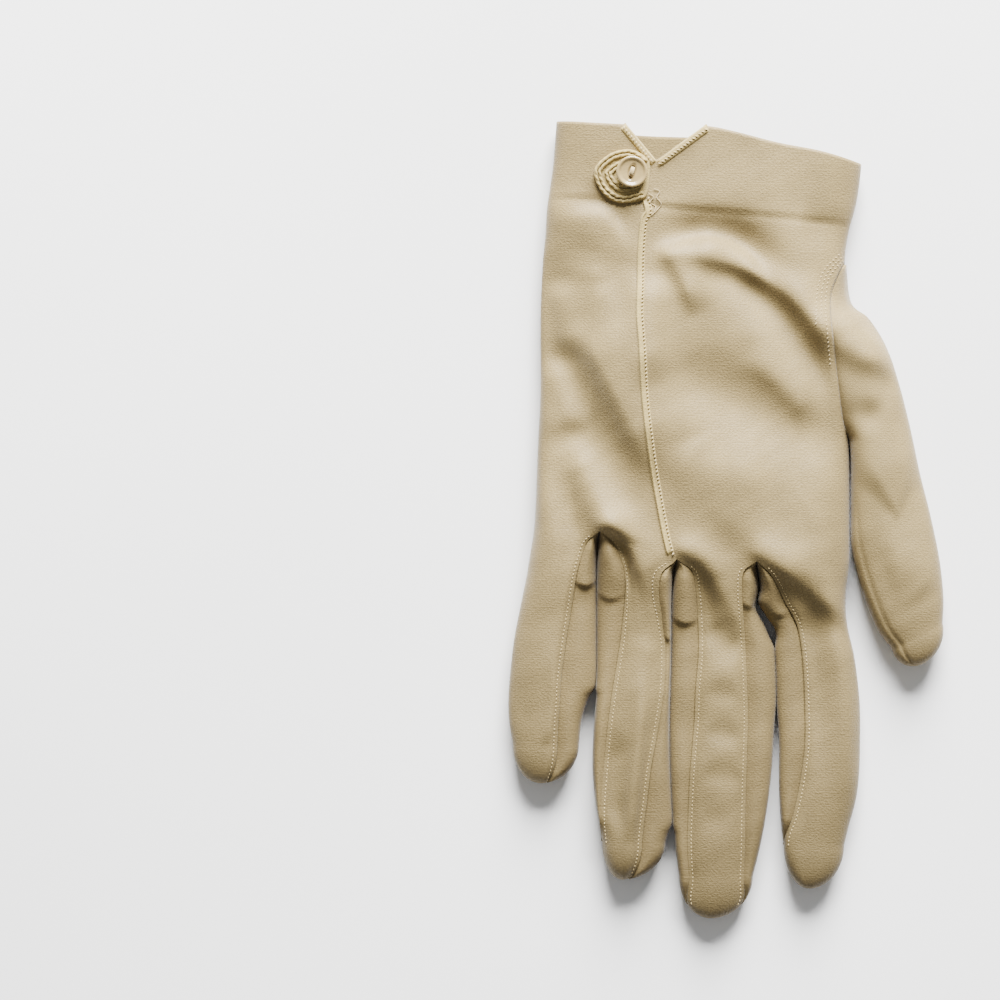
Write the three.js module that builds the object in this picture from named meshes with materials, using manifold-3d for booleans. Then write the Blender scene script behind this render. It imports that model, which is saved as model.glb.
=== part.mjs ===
// A lady's fabric dress glove, lying palm side up with its fingers towards -Y and its cuff towards +Y.
// Millimetres, +Z up, the surface that it lies on at z = 0, the thumb on the +X side.
import * as THREE from 'three';
import { mergeVertices } from 'three/addons/utils/BufferGeometryUtils.js';
import Module from 'manifold-3d';

const solids = await Module();
solids.setup();

// Cloth and clearances
const wall = 1.1;               // the knitted cloth with its seam allowances
const gap = 0.3;                // between two pieces sewn together
const stripGap = 0.36;          // the same beside a strip, whose seams are slanted
const edgeHeight = 4.4;         // height of the folded edge above the table, half of a flat glove
const facingStart = 1.5;        // the turned-in layer lies this deep inside the outer one
const facingEnd = 2.4;
const facingShare = 0.2;        // how much of the palm's length the turned-in layer covers
const webGap = 1.05;            // from the point of a finger slot to the strip that fills it
const webWall = 0.75;
const seamDrop = 1.7;           // how far a finger's seams lie below its crown
const seamReach = 22;           // length below a crotch over which they sink that far
const stripFade = 10;           // length over which a slot closes towards the fingertip
const stripTail = 3.6;          // length of the slot beyond the end of its strip
const drawInPower = 5;          // how close to an edge the inner skin is drawn in sideways
const palmCarry = 0.4;          // share of a finger over which the palm's own form carries on
const capFlatness = 0.7;        // how bluntly a fingertip ends, where 1 is a half round
const foldFade = 0.3;           // share of a fold over which it fades out at each end

// Outer edges of the flattened hand, and the height of the palm side above the table
const palmEdges = table('y left right height', [
  [114.8, -48.9, 39.6, 11.8],
  [103, -49.8, 39.2, 11.8],
  [96, -50.7, 38.5, 11.9],
  [90, -51.6, 37.4, 12.0],
  [82, -52.1, 35.3, 12.4],
  [75, -52.8, 34.4, 13.0],
  [59, -53.5, 34.2, 14.0],
  [37, -53.5, 34.8, 14.4],
  [20, -54.3, 35.6, 14.4],
  [4, -54.9, 35.7, 14.0],
  [-4, -55.5, 35.7, 13.6],
  [-12, -56.9, 35.7, 13.4],
]);

// Top edge of the cuff on the palm side, left to right, and how much lower it is on the back
const cuffLine = table('x y', [
  [-48.9, 114.8],
  [-29, 113.5],
  [-6, 113.0],
  [1.6, 111.6],
  [14, 108.4],
  [27, 105.8],
  [39.2, 102.4],
]);
const backCuffDrop = 2.6;
const cuffCorner = { left: palmEdges(114.8).left, right: palmEdges(102.4).right };

// The notch in the cuff: its two upper corners and its foot
const notch = {
  left: new THREE.Vector2(-29.2, 113.4),
  foot: new THREE.Vector2(-20.3, 102.7),
  right: new THREE.Vector2(-6.2, 113.0),
};

// Where the cloth turns down towards the edge, measured in from it: wide on the palm, narrow lower down
const turn = {
  palmLeft: 15, palmRight: 15, crotchLeft: 9, crotchRight: 12, back: 6, palmEnd: 40, crotchEnd: -4,
};

// Feet of the finger slots, with the outer edges at the same level
const crotches = [
  new THREE.Vector2(-55.5, -4.0),
  new THREE.Vector2(-36.6, -3.3),
  new THREE.Vector2(-14.5, -11.4),
  new THREE.Vector2(8.4, -12.0),
  new THREE.Vector2(35.7, -12.0),
];

// Fingers: outline and seams of the palm side, and the crown's height, a row for each section.
// A seam that is the same as the edge is the foot of a slot. The strips beside a finger end on its cap,
// leftEnd and rightEnd degrees round it, and an end of null is a folded edge with no strip.
const fingers = [
  {
    name: 'pinky', capY: -65, tip: [-53.4, -76.2], leftEnd: null, rightEnd: 60,
    rows: table('y left seamLeft seamRight right height', [
      [-3.3, -55.5, -46.5, -36.6, -36.6, 13.6],
      [-6, -55.9, -46.9, -39.9, -37.2, 13.3],
      [-10, -56.6, -47.6, -41.6, -37.5, 12.6],
      [-16, -57.5, -48.8, -43.2, -37.6, 11.8],
      [-25, -59.3, -50.6, -44.6, -37.6, 11.2],
      [-35, -61.2, -52.4, -46.2, -37.6, 10.8],
      [-47, -62.5, -54, -47.7, -37.7, 10.6],
      [-53, -62.8, -54.6, -48, -40.2, 10.5],
      [-58, -62.6, -54.6, -48.4, -41.6, 10.3],
      [-65, -61.5, -54, -48.7, -42.4, 10.0],
    ]),
  },
  {
    name: 'ring', capY: -93, tip: [-30, -104], leftEnd: 0, rightEnd: 60,
    rows: table('y left seamLeft seamRight right height', [
      [-3.3, -36.6, -36.6, -14.5, -14.5, 13.6],
      [-7, -36.7, -32.3, -14.5, -14.5, 13.6],
      [-11.4, -36.9, -30.3, -14.5, -14.5, 13.4],
      [-15, -37, -29.2, -18.6, -15.3, 12.8],
      [-21, -37, -29.1, -19.6, -15.8, 11.6],
      [-28, -37, -29.7, -18.6, -16, 10.8],
      [-36, -37, -30.7, -17.6, -16, 10.4],
      [-49, -37.3, -32.8, -18, -16.3, 10.8],
      [-61, -38.2, -34.4, -19.8, -16.5, 10.8],
      [-72, -38.5, -35.4, -21.8, -16.3, 10.7],
      [-82, -37.6, -36.2, -23, -15.8, 10.4],
      [-87, -36.7, -36.2, -23.7, -15.7, 10.3],
      [-93, -35.7, -35.4, -24.3, -17.4, 10.0],
    ]),
  },
  {
    name: 'middle', capY: -103, tip: [-4.5, -115.2], leftEnd: 42, rightEnd: 42,
    rows: table('y left seamLeft seamRight right height', [
      [-11.4, -14.5, -14.5, 8.4, 8.4, 13.6],
      [-12, -14.6, -13.7, 8.4, 8.4, 13.5],
      [-14.5, -14.8, -10.2, 4.9, 8.7, 13.2],
      [-20, -15.2, -8.9, 4.2, 9.2, 12.0],
      [-25, -15.4, -8.4, 4.5, 8.4, 11.2],
      [-31, -15.4, -8.1, 5, 11.4, 10.8],
      [-38, -15.4, -8, 5.5, 13.8, 10.6],
      [-49, -15.8, -8.9, 6, 14.3, 10.4],
      [-58, -16, -9.2, 6.2, 13.9, 10.2],
      [-72, -15.8, -10.4, 5.8, 13.3, 10.0],
      [-85, -15.2, -11, 5.5, 11.7, 9.6],
      [-95, -14.5, -11.2, 5.4, 9.8, 9.2],
      [-103, -13.5, -10.7, 5.1, 7.8, 8.8],
    ]),
  },
  {
    name: 'index', capY: -94, tip: [24, -106.6], leftEnd: 0, rightEnd: null,
    rows: table('y left seamLeft seamRight right height', [
      [-12, 8.4, 8.4, 23.7, 35.7, 13.4],
      [-15.5, 9.4, 12.2, 23.6, 35.4, 13.2],
      [-20, 10, 14.9, 24.4, 34.8, 12.4],
      [-24, 9.5, 16.8, 25.2, 34.6, 11.8],
      [-28, 11.6, 19.2, 26.2, 34.8, 11.2],
      [-32, 14.2, 20.7, 27.4, 35.4, 10.8],
      [-40, 14.4, 21.9, 29, 37.2, 10.4],
      [-53, 15, 22.6, 30.2, 38.7, 10.2],
      [-65, 15.4, 22.6, 30.4, 38.8, 10.0],
      [-74, 15.3, 21.5, 29.8, 38.5, 9.8],
      [-81, 15.5, 20.2, 28.8, 37.8, 9.6],
      [-88, 16, 18.6, 27.2, 36, 9.2],
      [-94, 16.7, 17.2, 25.6, 33.8, 8.8],
    ]),
  },
];

// Seam between the palm side and the thumb, from its lower end at the edge to its upper end
const thumbSeam = table('y x', [
  [74.2, 34.4],
  [69.5, 31.8],
  [65, 30.1],
  [59, 29.8],
  [52, 30.4],
  [44, 31.4],
  [35, 32.6],
  [28, 33.8],
  [22.9, 35.6],
]);
const thumbHole = { top: 74.2, bottom: 22.9, backInset: 1.6, corner: 12, spare: 0.15 };

// Thumb: its outer edge, the edge beside the forefinger, and its height, a row for each section
const thumbRows = table('share outerX outerY innerX innerY height', [
  [0, 34.8, 73.5, 36.0, 23.6, 13.8],
  [0.1, 36.2, 62.6, 36.1, 21.6, 13.8],
  [0.2, 41.3, 58, 36.1, 18.8, 13.6],
  [0.3, 46.3, 50, 36.1, 14.5, 13.2],
  [0.4, 49.9, 39.5, 36.1, 8.5, 12.8],
  [0.5, 53, 27.5, 36.1, 1, 12.2],
  [0.6, 56, 13.5, 36.2, -7.5, 11.8],
  [0.7, 59, 1.5, 38, -16, 11.4],
  [0.8, 61.6, -11, 40.8, -24.6, 11],
  [0.9, 62.8, -22, 44.2, -32.4, 10.4],
  [1, 62.6, -30, 48, -37.4, 9.6],
]);
const thumbTip = new THREE.Vector2(57.2, -41.6);
const thumbBlend = 0.35;        // share of the thumb over which the hole's outline becomes a round finger
const thumbRoundness = 0.8;     // 1 is an ellipse, less is fuller
const seatedEdge = 6;           // how close to its two edges the thumb leaves the hole's outline
const thumbSections = 12;
const thumbCapAngles = [30, 60, 90];

// Folds and ridges of the palm side: three points on a curve, the width of its slope on the left and on
// the right, and its height, where a dent is negative
const folds = rowsOf('x0 y0 x1 y1 x2 y2 left right height', [
  [-26.7, 77.5, 21.6, 60.9, 35.4, 7.6, 5.6, 3.4, 3.9],
  [-6.7, 78.1, 11.8, 63.3, 38, 26.8, 8.8, 6.4, -3.6],
  [-25.8, 73.6, 0.4, 82, 18.3, 58, 5.3, 3, -2.8],
  [-20.5, 80.5, -13.5, 71, -9, 57.5, 5, 2.8, 2],
  [3.9, 47.9, 15.5, 38.5, 24.9, 27.2, 4.1, 3.7, 1],
  [-23.2, 46.9, 6, 32.2, 47.3, 17.2, 10.1, 9.4, -3],
  [-44.2, 58, -31.9, 36.6, -19.1, 9.3, 15, 5, 4.2],
  [-48.8, 88.6, -48.6, 41.9, -38.3, -22.7, 15, 8.2, -6.8],
  [-59.8, 32.3, -50.8, 26.6, -43.6, 16.3, 4.4, 5.2, 1.6],
  [-47.4, 17.9, -38.6, 4.1, -29.1, -11, 6, 6.1, 4.2],
  [-49.8, 69.7, -47, 58.3, -46.4, 45.3, 4.8, 3.1, 2.2],
  [-47.3, 86.8, -34.9, 90.4, -27.8, 77.6, 4.2, 2.1, -1.5],
  [20.1, 84.5, 28.7, 84.1, 37.4, 83.4, 4.5, 9, -1.4],
  [-38.6, -4.7, -29.4, -9.3, -25.7, -23.7, 2.8, 2.9, -1.6],
  [-41, 0.5, -25.4, -8.4, -18.6, -36, 6.4, 3.2, 1.9],
  [-12.1, -8.5, -5.9, -20.1, -4.5, -39.1, 2.4, 4.3, -1.4],
  [-18, -5, -2, -18.6, 8.5, -42, 6.8, 3.6, 2.1],
  [14, -16, 24, -26.5, 38, -36.5, 4, 6, -1],
  [2, -5, 23, -18.6, 44, -34, 8, 4.2, 2.4],
  [-22.7, -40.1, -26.2, -71.8, -28.8, -100.7, 1.9, 1.9, 1.8],
  [31.7, 49.2, 39.2, 53.5, 45.8, 52.9, 2.3, 2.6, -1],
  [42.4, 50.7, 42.3, 40.2, 41.7, 29.6, 3, 3, 1.4],
  [-54.9, 91, -42.3, 97.2, -29.2, 92.3, 11.3, 5.4, -1.5],
  [-51.2, 47.6, -47.5, 34.8, -39.9, 21.1, 3.7, 6.8, 2.8],
  [-20.9, 71.7, -23, 55.9, -19.8, 36.9, 4.9, 7.5, 2.2],
  [-15.5, 22.9, -4.4, 13.6, 20.4, 16.3, 7.5, 7.7, 1.6],
  [-16.3, 20.4, 14.9, -7, 38.3, 4.4, 13, 7.3, 1.7],
  [-37.7, 77.9, -39.5, 65.7, -28.8, 61.3, 5.6, 9.6, 1.8],
  [-60.4, -10.4, -60.6, -59.6, -52.4, -82.6, 7, 3.6, -1.6],
  [-49.5, -38.9, -49.9, -55, -54.1, -66.4, 1.9, 1.9, 0.7],
  [-22.8, -32.8, -23.8, -42.7, -28.6, -56.4, 2.1, 3.4, 0.6],
  [-29.5, -60, -31.8, -76, -30.8, -92, 2.4, 3.6, -1.2],
  [-4.9, -28.1, -0.5, -35, 4.7, -37.7, 3.3, 5.3, -1],
  [20.9, -25.2, 25.6, -43.9, 24.3, -76.6, 4.7, 1.9, -1.8],
  [27, -17.6, 34.1, -48.9, 33.3, -87.6, 2.6, 2.6, 1],
  [24.8, 62.6, 36.1, 50.6, 52.9, 48.8, 15, 5, 3.9],
  [35.7, 41.3, 41, 28, 46.2, 18.2, 6, 3.4, -1.6],
  [38, 8, 47, 13.5, 57, 11, 8, 10, 2.2],
  [44, -14, 54, -14, 62, -21, 8, 8, 1.2],
  [-6, -48, -1, -50.4, 3.6, -49.6, 3.6, 2.8, -0.5],
  [-5.6, -59.4, -1.2, -61.8, 4, -61, 3.8, 2.8, -0.55],
  [-7, -72, -1, -74, 4.6, -72.8, 4, 3, -0.55],
  [-8, -86, -3, -86.4, 2, -88, 4, 4, -0.35],
  [-40, -1.4, -32.6, -2.8, -25, -10, 3.6, 2.2, 0.8],
  [-18, -8.6, -9.8, -10, -3, -19, 3.6, 2.2, 0.8],
  [5, -9.6, 12.6, -11, 21, -19, 4, 2.4, 0.8],
]).map((fold) => ({ ...fold, points: foldPoints(fold) }));

// Centre seam, from under the tab to the middle slot
const centreSeam = rowsOf('x y', [
  [-23.2, 91],
  [-23.3, 84],
  [-24, 70],
  [-24, 58],
  [-23.6, 44],
  [-22.8, 32],
  [-20.9, 18],
  [-18.4, 2],
  [-16.2, -6.5],
]);
const seamRidge = { width: 2.2, height: 1.0, steps: 26 };

// A rib's rounded section, in half widths across and heights up, and its clearance over the cloth's hollows
const ribSection = rowsOf('across up', [
  [-1, 0],
  [-0.7, 0.75],
  [0, 1],
  [0.7, 0.75],
  [1, 0],
]);
const ribClear = 0.12;
const ribProbe = 0.8;

// The notch's stitched edges, with the shares of each edge at which they start and end
const binding = { width: 2.2, height: 0.8, steps: 6, clear: 0.4 };
const leftBindingEnds = { start: 0.06, end: 0.5 };
const rightBindingEnds = { start: 0.05, end: 0.93 };

// The tab: a rounded tongue round the button, with its straight end on the right-hand panel
const tab = {
  x: -28.6, y: 98.6, radius: 9.4, halfWidth: 7.7, end: 6.4, squareness: 0.6,
  plate: 0.8, cord: 0.6, cordFoot: 0.15, rings: 3, ringStep: 0.17, groove: 0.003, sides: 28,
};
const buttonSpot = new THREE.Vector2(-27.4, 99.7);

const button = {
  radius: 4.5, thickness: 2.2, rim: 0.8, rimRound: 0.35, footRound: 0.65, sides: 28,
  dish: 0.5, dishSlope: 0.5, dishSag: 0.15,
  eyeLength: 5.2, eyeWidth: 2.6, eyeDepth: 0.45, eyeLift: 0.27, eyeAngle: 68,
  holes: 2.5, holeRadius: 0.55,
};
const thread = { radius: 0.25, foot: 0.5, over: 0.35, bend: 0.45, sides: 6, steps: 10 };

const palmRows = [0, 0.05, 0.1, 0.15, 0.2, 'holeTop', 0.3, 0.36, 0.42, 0.48, 0.54, 0.6, 0.65, 'holeBottom',
  0.745, 0.8, 0.85, 0.9, 0.95, 1];
const fingerRows = [0, 0.04, 0.09, 0.15, 0.22, 0.31, 0.42, 0.54, 0.67, 0.8, 0.91, 1];
const capAngles = [22, 42, 60, 76, 90];
const columnCounts = { turn: 3, pinky: 3, ring: 4, middle: 4, index: 3, thumb: 8, strip: 3 };

// Small helpers

function rowsOf(names, rows) {
  const keys = names.split(' ');
  return rows.map((row) => Object.fromEntries(keys.map((key, k) => [key, row[k]])));
}

// A table that is read between its rows on a smooth curve through them
function table(names, rows) {
  const keys = names.split(' ').slice(1);
  const ordered = [...rows].sort((a, b) => a[0] - b[0]);
  const slope = (i, k) => {
    const a = ordered[Math.max(i - 1, 0)];
    const b = ordered[Math.min(i + 1, ordered.length - 1)];
    return (b[k] - a[k]) / (b[0] - a[0]);
  };
  return (at) => {
    const last = ordered.length - 1;
    const t = Math.min(Math.max(at, ordered[0][0]), ordered[last][0]);
    let i = ordered.findIndex((row) => row[0] >= t) - 1;
    i = Math.min(Math.max(i, 0), last - 1);
    const span = ordered[i + 1][0] - ordered[i][0];
    const f = (t - ordered[i][0]) / span;
    const value = (k) => hermite(ordered[i][k], ordered[i + 1][k],
      slope(i, k) * span, slope(i + 1, k) * span, f);
    return Object.fromEntries(keys.map((key, n) => [key, value(n + 1)]));
  };
}

function hermite(a, b, slopeA, slopeB, f) {
  const g = f * f * (3 - 2 * f);
  return a + (b - a) * g + slopeA * f * (1 - f) ** 2 - slopeB * f * f * (1 - f);
}

function lerp(a, b, f) {
  return a + (b - a) * f;
}

function ease(f) {
  const g = Math.min(Math.max(f, 0), 1);
  return g * g * (3 - 2 * g);
}

// Points along the curve that goes through a fold's three points
function foldPoints({ x0, y0, x1, y1, x2, y2 }) {
  const steps = 12;
  const bend = new THREE.Vector2(2 * x1 - (x0 + x2) / 2, 2 * y1 - (y0 + y2) / 2);
  const curve = new THREE.QuadraticBezierCurve(new THREE.Vector2(x0, y0), bend, new THREE.Vector2(x2, y2));
  return curve.getPoints(steps);
}

// The place on a fold's curve that is nearest: how far off it is, how far along, and on which side
function nearestOnFold(fold, x, y) {
  const { points } = fold;
  let nearest = { away: Infinity };
  for (let i = 0; i + 1 < points.length; i += 1) {
    const dx = points[i + 1].x - points[i].x;
    const dy = points[i + 1].y - points[i].y;
    const fromX = x - points[i].x;
    const fromY = y - points[i].y;
    const share = Math.min(Math.max((fromX * dx + fromY * dy) / (dx * dx + dy * dy), 0), 1);
    const away = Math.hypot(fromX - share * dx, fromY - share * dy);
    if (away < nearest.away) {
      const width = dx * fromY - dy * fromX > 0 ? fold.left : fold.right;
      nearest = { away, width, along: (i + share) / (points.length - 1) };
    }
  }
  return nearest;
}

// Height that the folds add at a place: each is a soft ridge or dent that fades out at both ends
function foldHeight(x, y) {
  let height = 0;
  for (const fold of folds) {
    const { away, width, along } = nearestOnFold(fold, x, y);
    const fade = ease(along / foldFade) * ease((1 - along) / foldFade);
    height += fold.height * fade * Math.exp(-((away / width) ** 2));
  }
  return height;
}

// A thin-walled cloth skin: patches of paired outer and inner points, closed along every open edge
class Skin {
  constructor() {
    this.outer = [];
    this.inner = [];
    this.faces = [];
    this.known = new Map();
  }

  vertex(pair) {
    const key = pair.outer.toArray().map((value) => Math.round(value * 500)).join();
    if (!this.known.has(key)) {
      this.known.set(key, this.outer.length);
      this.outer.push(pair.outer);
      this.inner.push(pair.inner);
    }
    return this.known.get(key);
  }

  // Rows of pairs: rows run towards the fingertips, and each goes round from left to right over the top
  patch(rows) {
    for (let i = 0; i + 1 < rows.length; i += 1) {
      for (let j = 0; j + 1 < rows[i].length; j += 1) {
        const a = this.vertex(rows[i][j]);
        const b = this.vertex(rows[i + 1][j]);
        const c = this.vertex(rows[i + 1][j + 1]);
        const d = this.vertex(rows[i][j + 1]);
        this.face(a, b, c);
        this.face(a, c, d);
      }
    }
  }

  face(a, b, c) {
    if (a !== b && b !== c && c !== a) {
      this.faces.push([a, b, c]);
    }
  }

  solid() {
    const count = this.outer.length;
    const edges = new Map();
    for (const [a, b, c] of this.faces) {
      for (const [from, to] of [[a, b], [b, c], [c, a]]) {
        edges.set(`${from} ${to}`, [from, to]);
      }
    }
    const triangles = [];
    for (const [a, b, c] of this.faces) {
      triangles.push(a, b, c, a + count, c + count, b + count);
    }
    for (const [from, to] of edges.values()) {
      if (edges.has(`${to} ${from}`)) continue;
      if (this.outer[from].y > this.outer[to].y) {
        triangles.push(to, from, from + count, to, from + count, to + count);
      } else {
        triangles.push(to, from, to + count, from, from + count, to + count);
      }
    }
    const geometry = new THREE.BufferGeometry();
    geometry.setFromPoints([...this.outer, ...this.inner]);
    geometry.setIndex(triangles);
    return geometry;
  }
}

// Closed solid from rings of points, each ring going the same way, with flat ends
function ringSolid(rings) {
  const sides = rings[0].length;
  const triangles = [];
  const corner = (i, j) => i * sides + (j % sides);
  for (let i = 0; i + 1 < rings.length; i += 1) {
    for (let j = 0; j < sides; j += 1) {
      triangles.push(corner(i, j), corner(i, j + 1), corner(i + 1, j + 1));
      triangles.push(corner(i, j), corner(i + 1, j + 1), corner(i + 1, j));
    }
  }
  const last = rings.length - 1;
  for (let j = 1; j + 1 < sides; j += 1) {
    triangles.push(corner(0, 0), corner(0, j + 1), corner(0, j));
    triangles.push(corner(last, 0), corner(last, j), corner(last, j + 1));
  }
  const geometry = new THREE.BufferGeometry();
  geometry.setFromPoints(rings.flat());
  geometry.setIndex(triangles);
  return geometry;
}

function toSolid(geometry) {
  const bare = geometry.clone();
  bare.deleteAttribute('normal');
  bare.deleteAttribute('uv');
  const merged = mergeVertices(bare, 1e-4);
  const mesh = new solids.Mesh({
    numProp: 3,
    vertProperties: new Float32Array(merged.attributes.position.array),
    triVerts: new Uint32Array(merged.index.array),
  });
  return new solids.Manifold(mesh);
}

function toGeometry(solid) {
  const mesh = solid.getMesh();
  const geometry = new THREE.BufferGeometry();
  geometry.setAttribute('position', new THREE.BufferAttribute(new Float32Array(mesh.vertProperties), 3));
  geometry.setIndex(new THREE.BufferAttribute(new Uint32Array(mesh.triVerts), 1));
  return geometry;
}

// Cross-sections

// One point of a section: column is -1 to 1 between the seams, and on to -2 or 2 round the edges.
// The inner skin lies straight under the outer one, and is drawn in from the edges.
function sectionPoint(section, column, isBack, y, inset) {
  const { left, right, seamLeft, seamRight, crown } = section;
  const side = column < 0 ? 'left' : 'right';
  const edge = side === 'left' ? left : right;
  const merge = section.merge[side];
  const seamX = lerp(side === 'left' ? seamLeft : seamRight, edge, merge);
  const across = Math.min(Math.abs(column), 1);
  const angle = Math.max(Math.abs(column) - 1, 0) * Math.PI / 2;
  const between = lerp(lerp(seamLeft, left, section.merge.left), lerp(seamRight, right, section.merge.right),
    (column + 1) / 2);
  const x = angle > 0 ? seamX + (edge - seamX) * Math.sin(angle) : between;
  const round = lerp(across * across, 1 - Math.sqrt(1 - across * across), merge);
  const depth = isBack ? edgeHeight : crown - edgeHeight + foldHeight(x, y);
  const drop = lerp(isBack ? 0 : section.drop[side], depth, merge);
  const rise = (isBack ? -1 : 1) * (depth - drop * round) * Math.cos(angle);
  const middle = (left + right) / 2;
  const half = (right - left) / 2;
  const out = (x - middle) / half;
  const drawnIn = x - middle - Math.sign(out) * inset * Math.abs(out) ** drawInPower;
  return new THREE.Vector3(
    middle + drawnIn * section.shrink + section.shift,
    y,
    edgeHeight + rise * (1 - inset / depth) * section.flatten,
  );
}

// How far a seam has run out to the edge, where 1 means that it has reached it
function fadeTowards(finger, end, y) {
  if (end === null) return 0;
  const last = finger.capY - (finger.capY - finger.tip[1]) * Math.sin(end * Math.PI / 180);
  return ease((last + stripFade - stripTail - y) / stripFade);
}

// A finger's section at a height on the page, with the cap drawn in by its angle
function fingerSection(finger, y, reach, angle) {
  const row = finger.rows(y);
  const k = fingers.indexOf(finger);
  const sink = (crotch) => seamDrop * ease((crotch.y - y) / seamReach);
  const middle = (row.left + row.right) / 2;
  return {
    ...row,
    crown: row.height,
    drop: {
      left: finger.leftEnd === null ? 0 : sink(crotches[k]),
      right: finger.rightEnd === null ? 0 : sink(crotches[k + 1]),
    },
    merge: {
      left: fadeTowards(finger, finger.leftEnd, reach),
      right: fadeTowards(finger, finger.rightEnd, reach),
    },
    shrink: Math.cos(angle),
    flatten: Math.cos(angle) ** capFlatness,
    shift: (finger.tip[0] - middle) * (1 - Math.cos(angle)),
  };
}

// Level of the row of slot feet at a column of a finger
function crotchLevel(k, column) {
  return lerp(crotches[k].y, crotches[k + 1].y, (Math.min(Math.max(column, -1), 1) + 1) / 2);
}

// A strip's column, moved round the edge so that the strip stands a gap away from the seam
function stripColumn(section, column, isBack) {
  const side = column < 0 ? 'left' : 'right';
  const width = Math.abs(section[side] - section[column < 0 ? 'seamLeft' : 'seamRight']);
  const open = 1 - section.merge[side];
  const height = (isBack ? edgeHeight : section.crown - edgeHeight - section.drop[side]) * open;
  const angle = Math.min(stripGap / Math.max(width * open, 0.01), Math.sqrt(2 * stripGap / height), 1.1);
  const start = angle * 2 / Math.PI;
  return Math.sign(column) * (1 + start + (Math.abs(column) - 1) * (1 - start));
}

// A point on a finger: share runs from the crotch to the cap, and angle on over the cap to the tip
function loosePoint(k, share, degrees, column, isBack, inset, isStrip) {
  const finger = fingers[k];
  const angle = degrees * Math.PI / 180;
  const level = lerp(crotchLevel(k, column), finger.capY, share);
  const capLength = finger.capY - finger.tip[1];
  const reach = level - capLength * Math.sin(angle);
  const section = fingerSection(finger, level, reach, angle);
  const place = isStrip ? stripColumn(section, column, isBack) : column;
  const point = sectionPoint(section, place, isBack, level, inset);
  point.y = reach + inset * Math.sin(angle);
  return point;
}

// The same for the trank's own panels, which start on the last row of the palm and leave it smoothly
function panelPair(k, share, degrees, column, isBack) {
  const outer = loosePoint(k, share, degrees, column, isBack, 0, false);
  const start = loosePoint(k, 0, 0, column, isBack, 0, false);
  const foot = palmPoint(k, column, 1, isBack, 0);
  const through = loosePoint(k, share, degrees, column, isBack, wall, false).sub(outer);
  const footThrough = palmPoint(k, column, 1, isBack, wall).sub(foot);
  outer.addScaledVector(foot.clone().sub(start), 1 - ease(share / palmCarry));
  return { outer, inner: outer.clone().add(footThrough.lerp(through, ease(share / fingerRows[1]))) };
}

// Palm section at a level: the turned edges get narrower towards the fingers
function palmSection(y, isBack) {
  const row = palmEdges(y);
  const near = ease((turn.palmEnd - y) / (turn.palmEnd - turn.crotchEnd));
  const leftTurn = isBack ? turn.back : lerp(turn.palmLeft, turn.crotchLeft, near);
  const rightTurn = isBack ? turn.back : lerp(turn.palmRight, turn.crotchRight, near);
  return {
    ...row,
    seamLeft: row.left + leftTurn,
    seamRight: row.right - rightTurn,
    crown: row.height,
    drop: { left: 0, right: 0 },
    merge: { left: 0, right: 0 },
    shrink: 1,
    flatten: 1,
    shift: 0,
  };
}

// How far across the palm the foot of a slot lies, between the two turned edges
function footShare(k, isBack) {
  if (k === 0 || k === 4) return k / 4;
  const section = palmSection(crotches[k].y, isBack);
  return (crotches[k].x - section.seamLeft) / (section.seamRight - section.seamLeft);
}

function palmShare(k, column, isBack) {
  const inFinger = (Math.min(Math.max(column, -1), 1) + 1) / 2;
  return lerp(footShare(k, isBack), footShare(k + 1, isBack), inFinger);
}

// A point on the palm or the back of the hand: share runs from the cuff's edge to the slot feet. The
// rows are spread evenly below the hem, and bend to the cuff's own edge above it
function palmPoint(k, column, share, isBack, inset) {
  const across = palmShare(k, column, isBack);
  const outside = Math.abs(column) > 1 && (k === 0 || k === 3) ? Math.sign(column) : 0;
  const sectionColumn = outside === 0 ? 2 * across - 1 : column;
  const rowX = lerp(cuffCorner.left, cuffCorner.right, outside === 0 ? across : (outside + 1) / 2);
  const rowTop = cuffLine(rowX).y;
  const edge = sectionPoint(palmSection(rowTop, isBack), sectionColumn, isBack, rowTop, 0);
  const drop = isBack ? backCuffDrop * (1 - Math.abs(2 * across - 1) ** 3) : 0;
  const bend = (cuffLine(edge.x).y - drop - rowTop) * (1 - ease(share / facingShare));
  const y = lerp(rowTop, crotchLevel(k, column), share) + bend;
  return sectionPoint(palmSection(y, isBack), sectionColumn, isBack, y, inset);
}

function columnsOf(k) {
  const count = columnCounts[fingers[k].name];
  const columns = [];
  for (let j = 0; j <= count; j += 1) {
    columns.push(-1 + 2 * j / count);
  }
  for (let j = 1; j <= columnCounts.turn; j += 1) {
    const column = 1 + j / columnCounts.turn;
    if (k === 0) columns.unshift(-column);
    if (k === 3) columns.push(column);
  }
  return columns;
}

// Rows of the palm, with two of them at the ends of the thumb's hole
const edgeTop = cuffLine(cuffCorner.right).y;
const rowShare = (y) => (edgeTop - y) / (edgeTop - crotches[4].y);
const palmShares = palmRows.map((row) => {
  if (row === 'holeTop') return rowShare(thumbHole.top);
  if (row === 'holeBottom') return rowShare(thumbHole.bottom);
  return row;
});

function holeX(y, isBack) {
  const ends = ease((thumbHole.top - y) / thumbHole.corner) * ease((y - thumbHole.bottom) / thumbHole.corner);
  return isBack ? palmEdges(y).right - thumbHole.backInset * ends : thumbSeam(y).x;
}

// The column at which the palm stops: 2 at the folded edge, less where the thumb is set in
function lastColumn(share, isBack) {
  const y = lerp(edgeTop, crotches[4].y, share);
  const nearly = 0.01;
  if (y >= thumbHole.top - nearly || y <= thumbHole.bottom + nearly) return 2;
  const section = palmSection(y, isBack);
  const out = (holeX(y, isBack) - section.seamRight) / (section.right - section.seamRight);
  return 1 + Math.asin(Math.min(Math.max(out, 0), 1)) * 2 / Math.PI;
}

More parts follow.
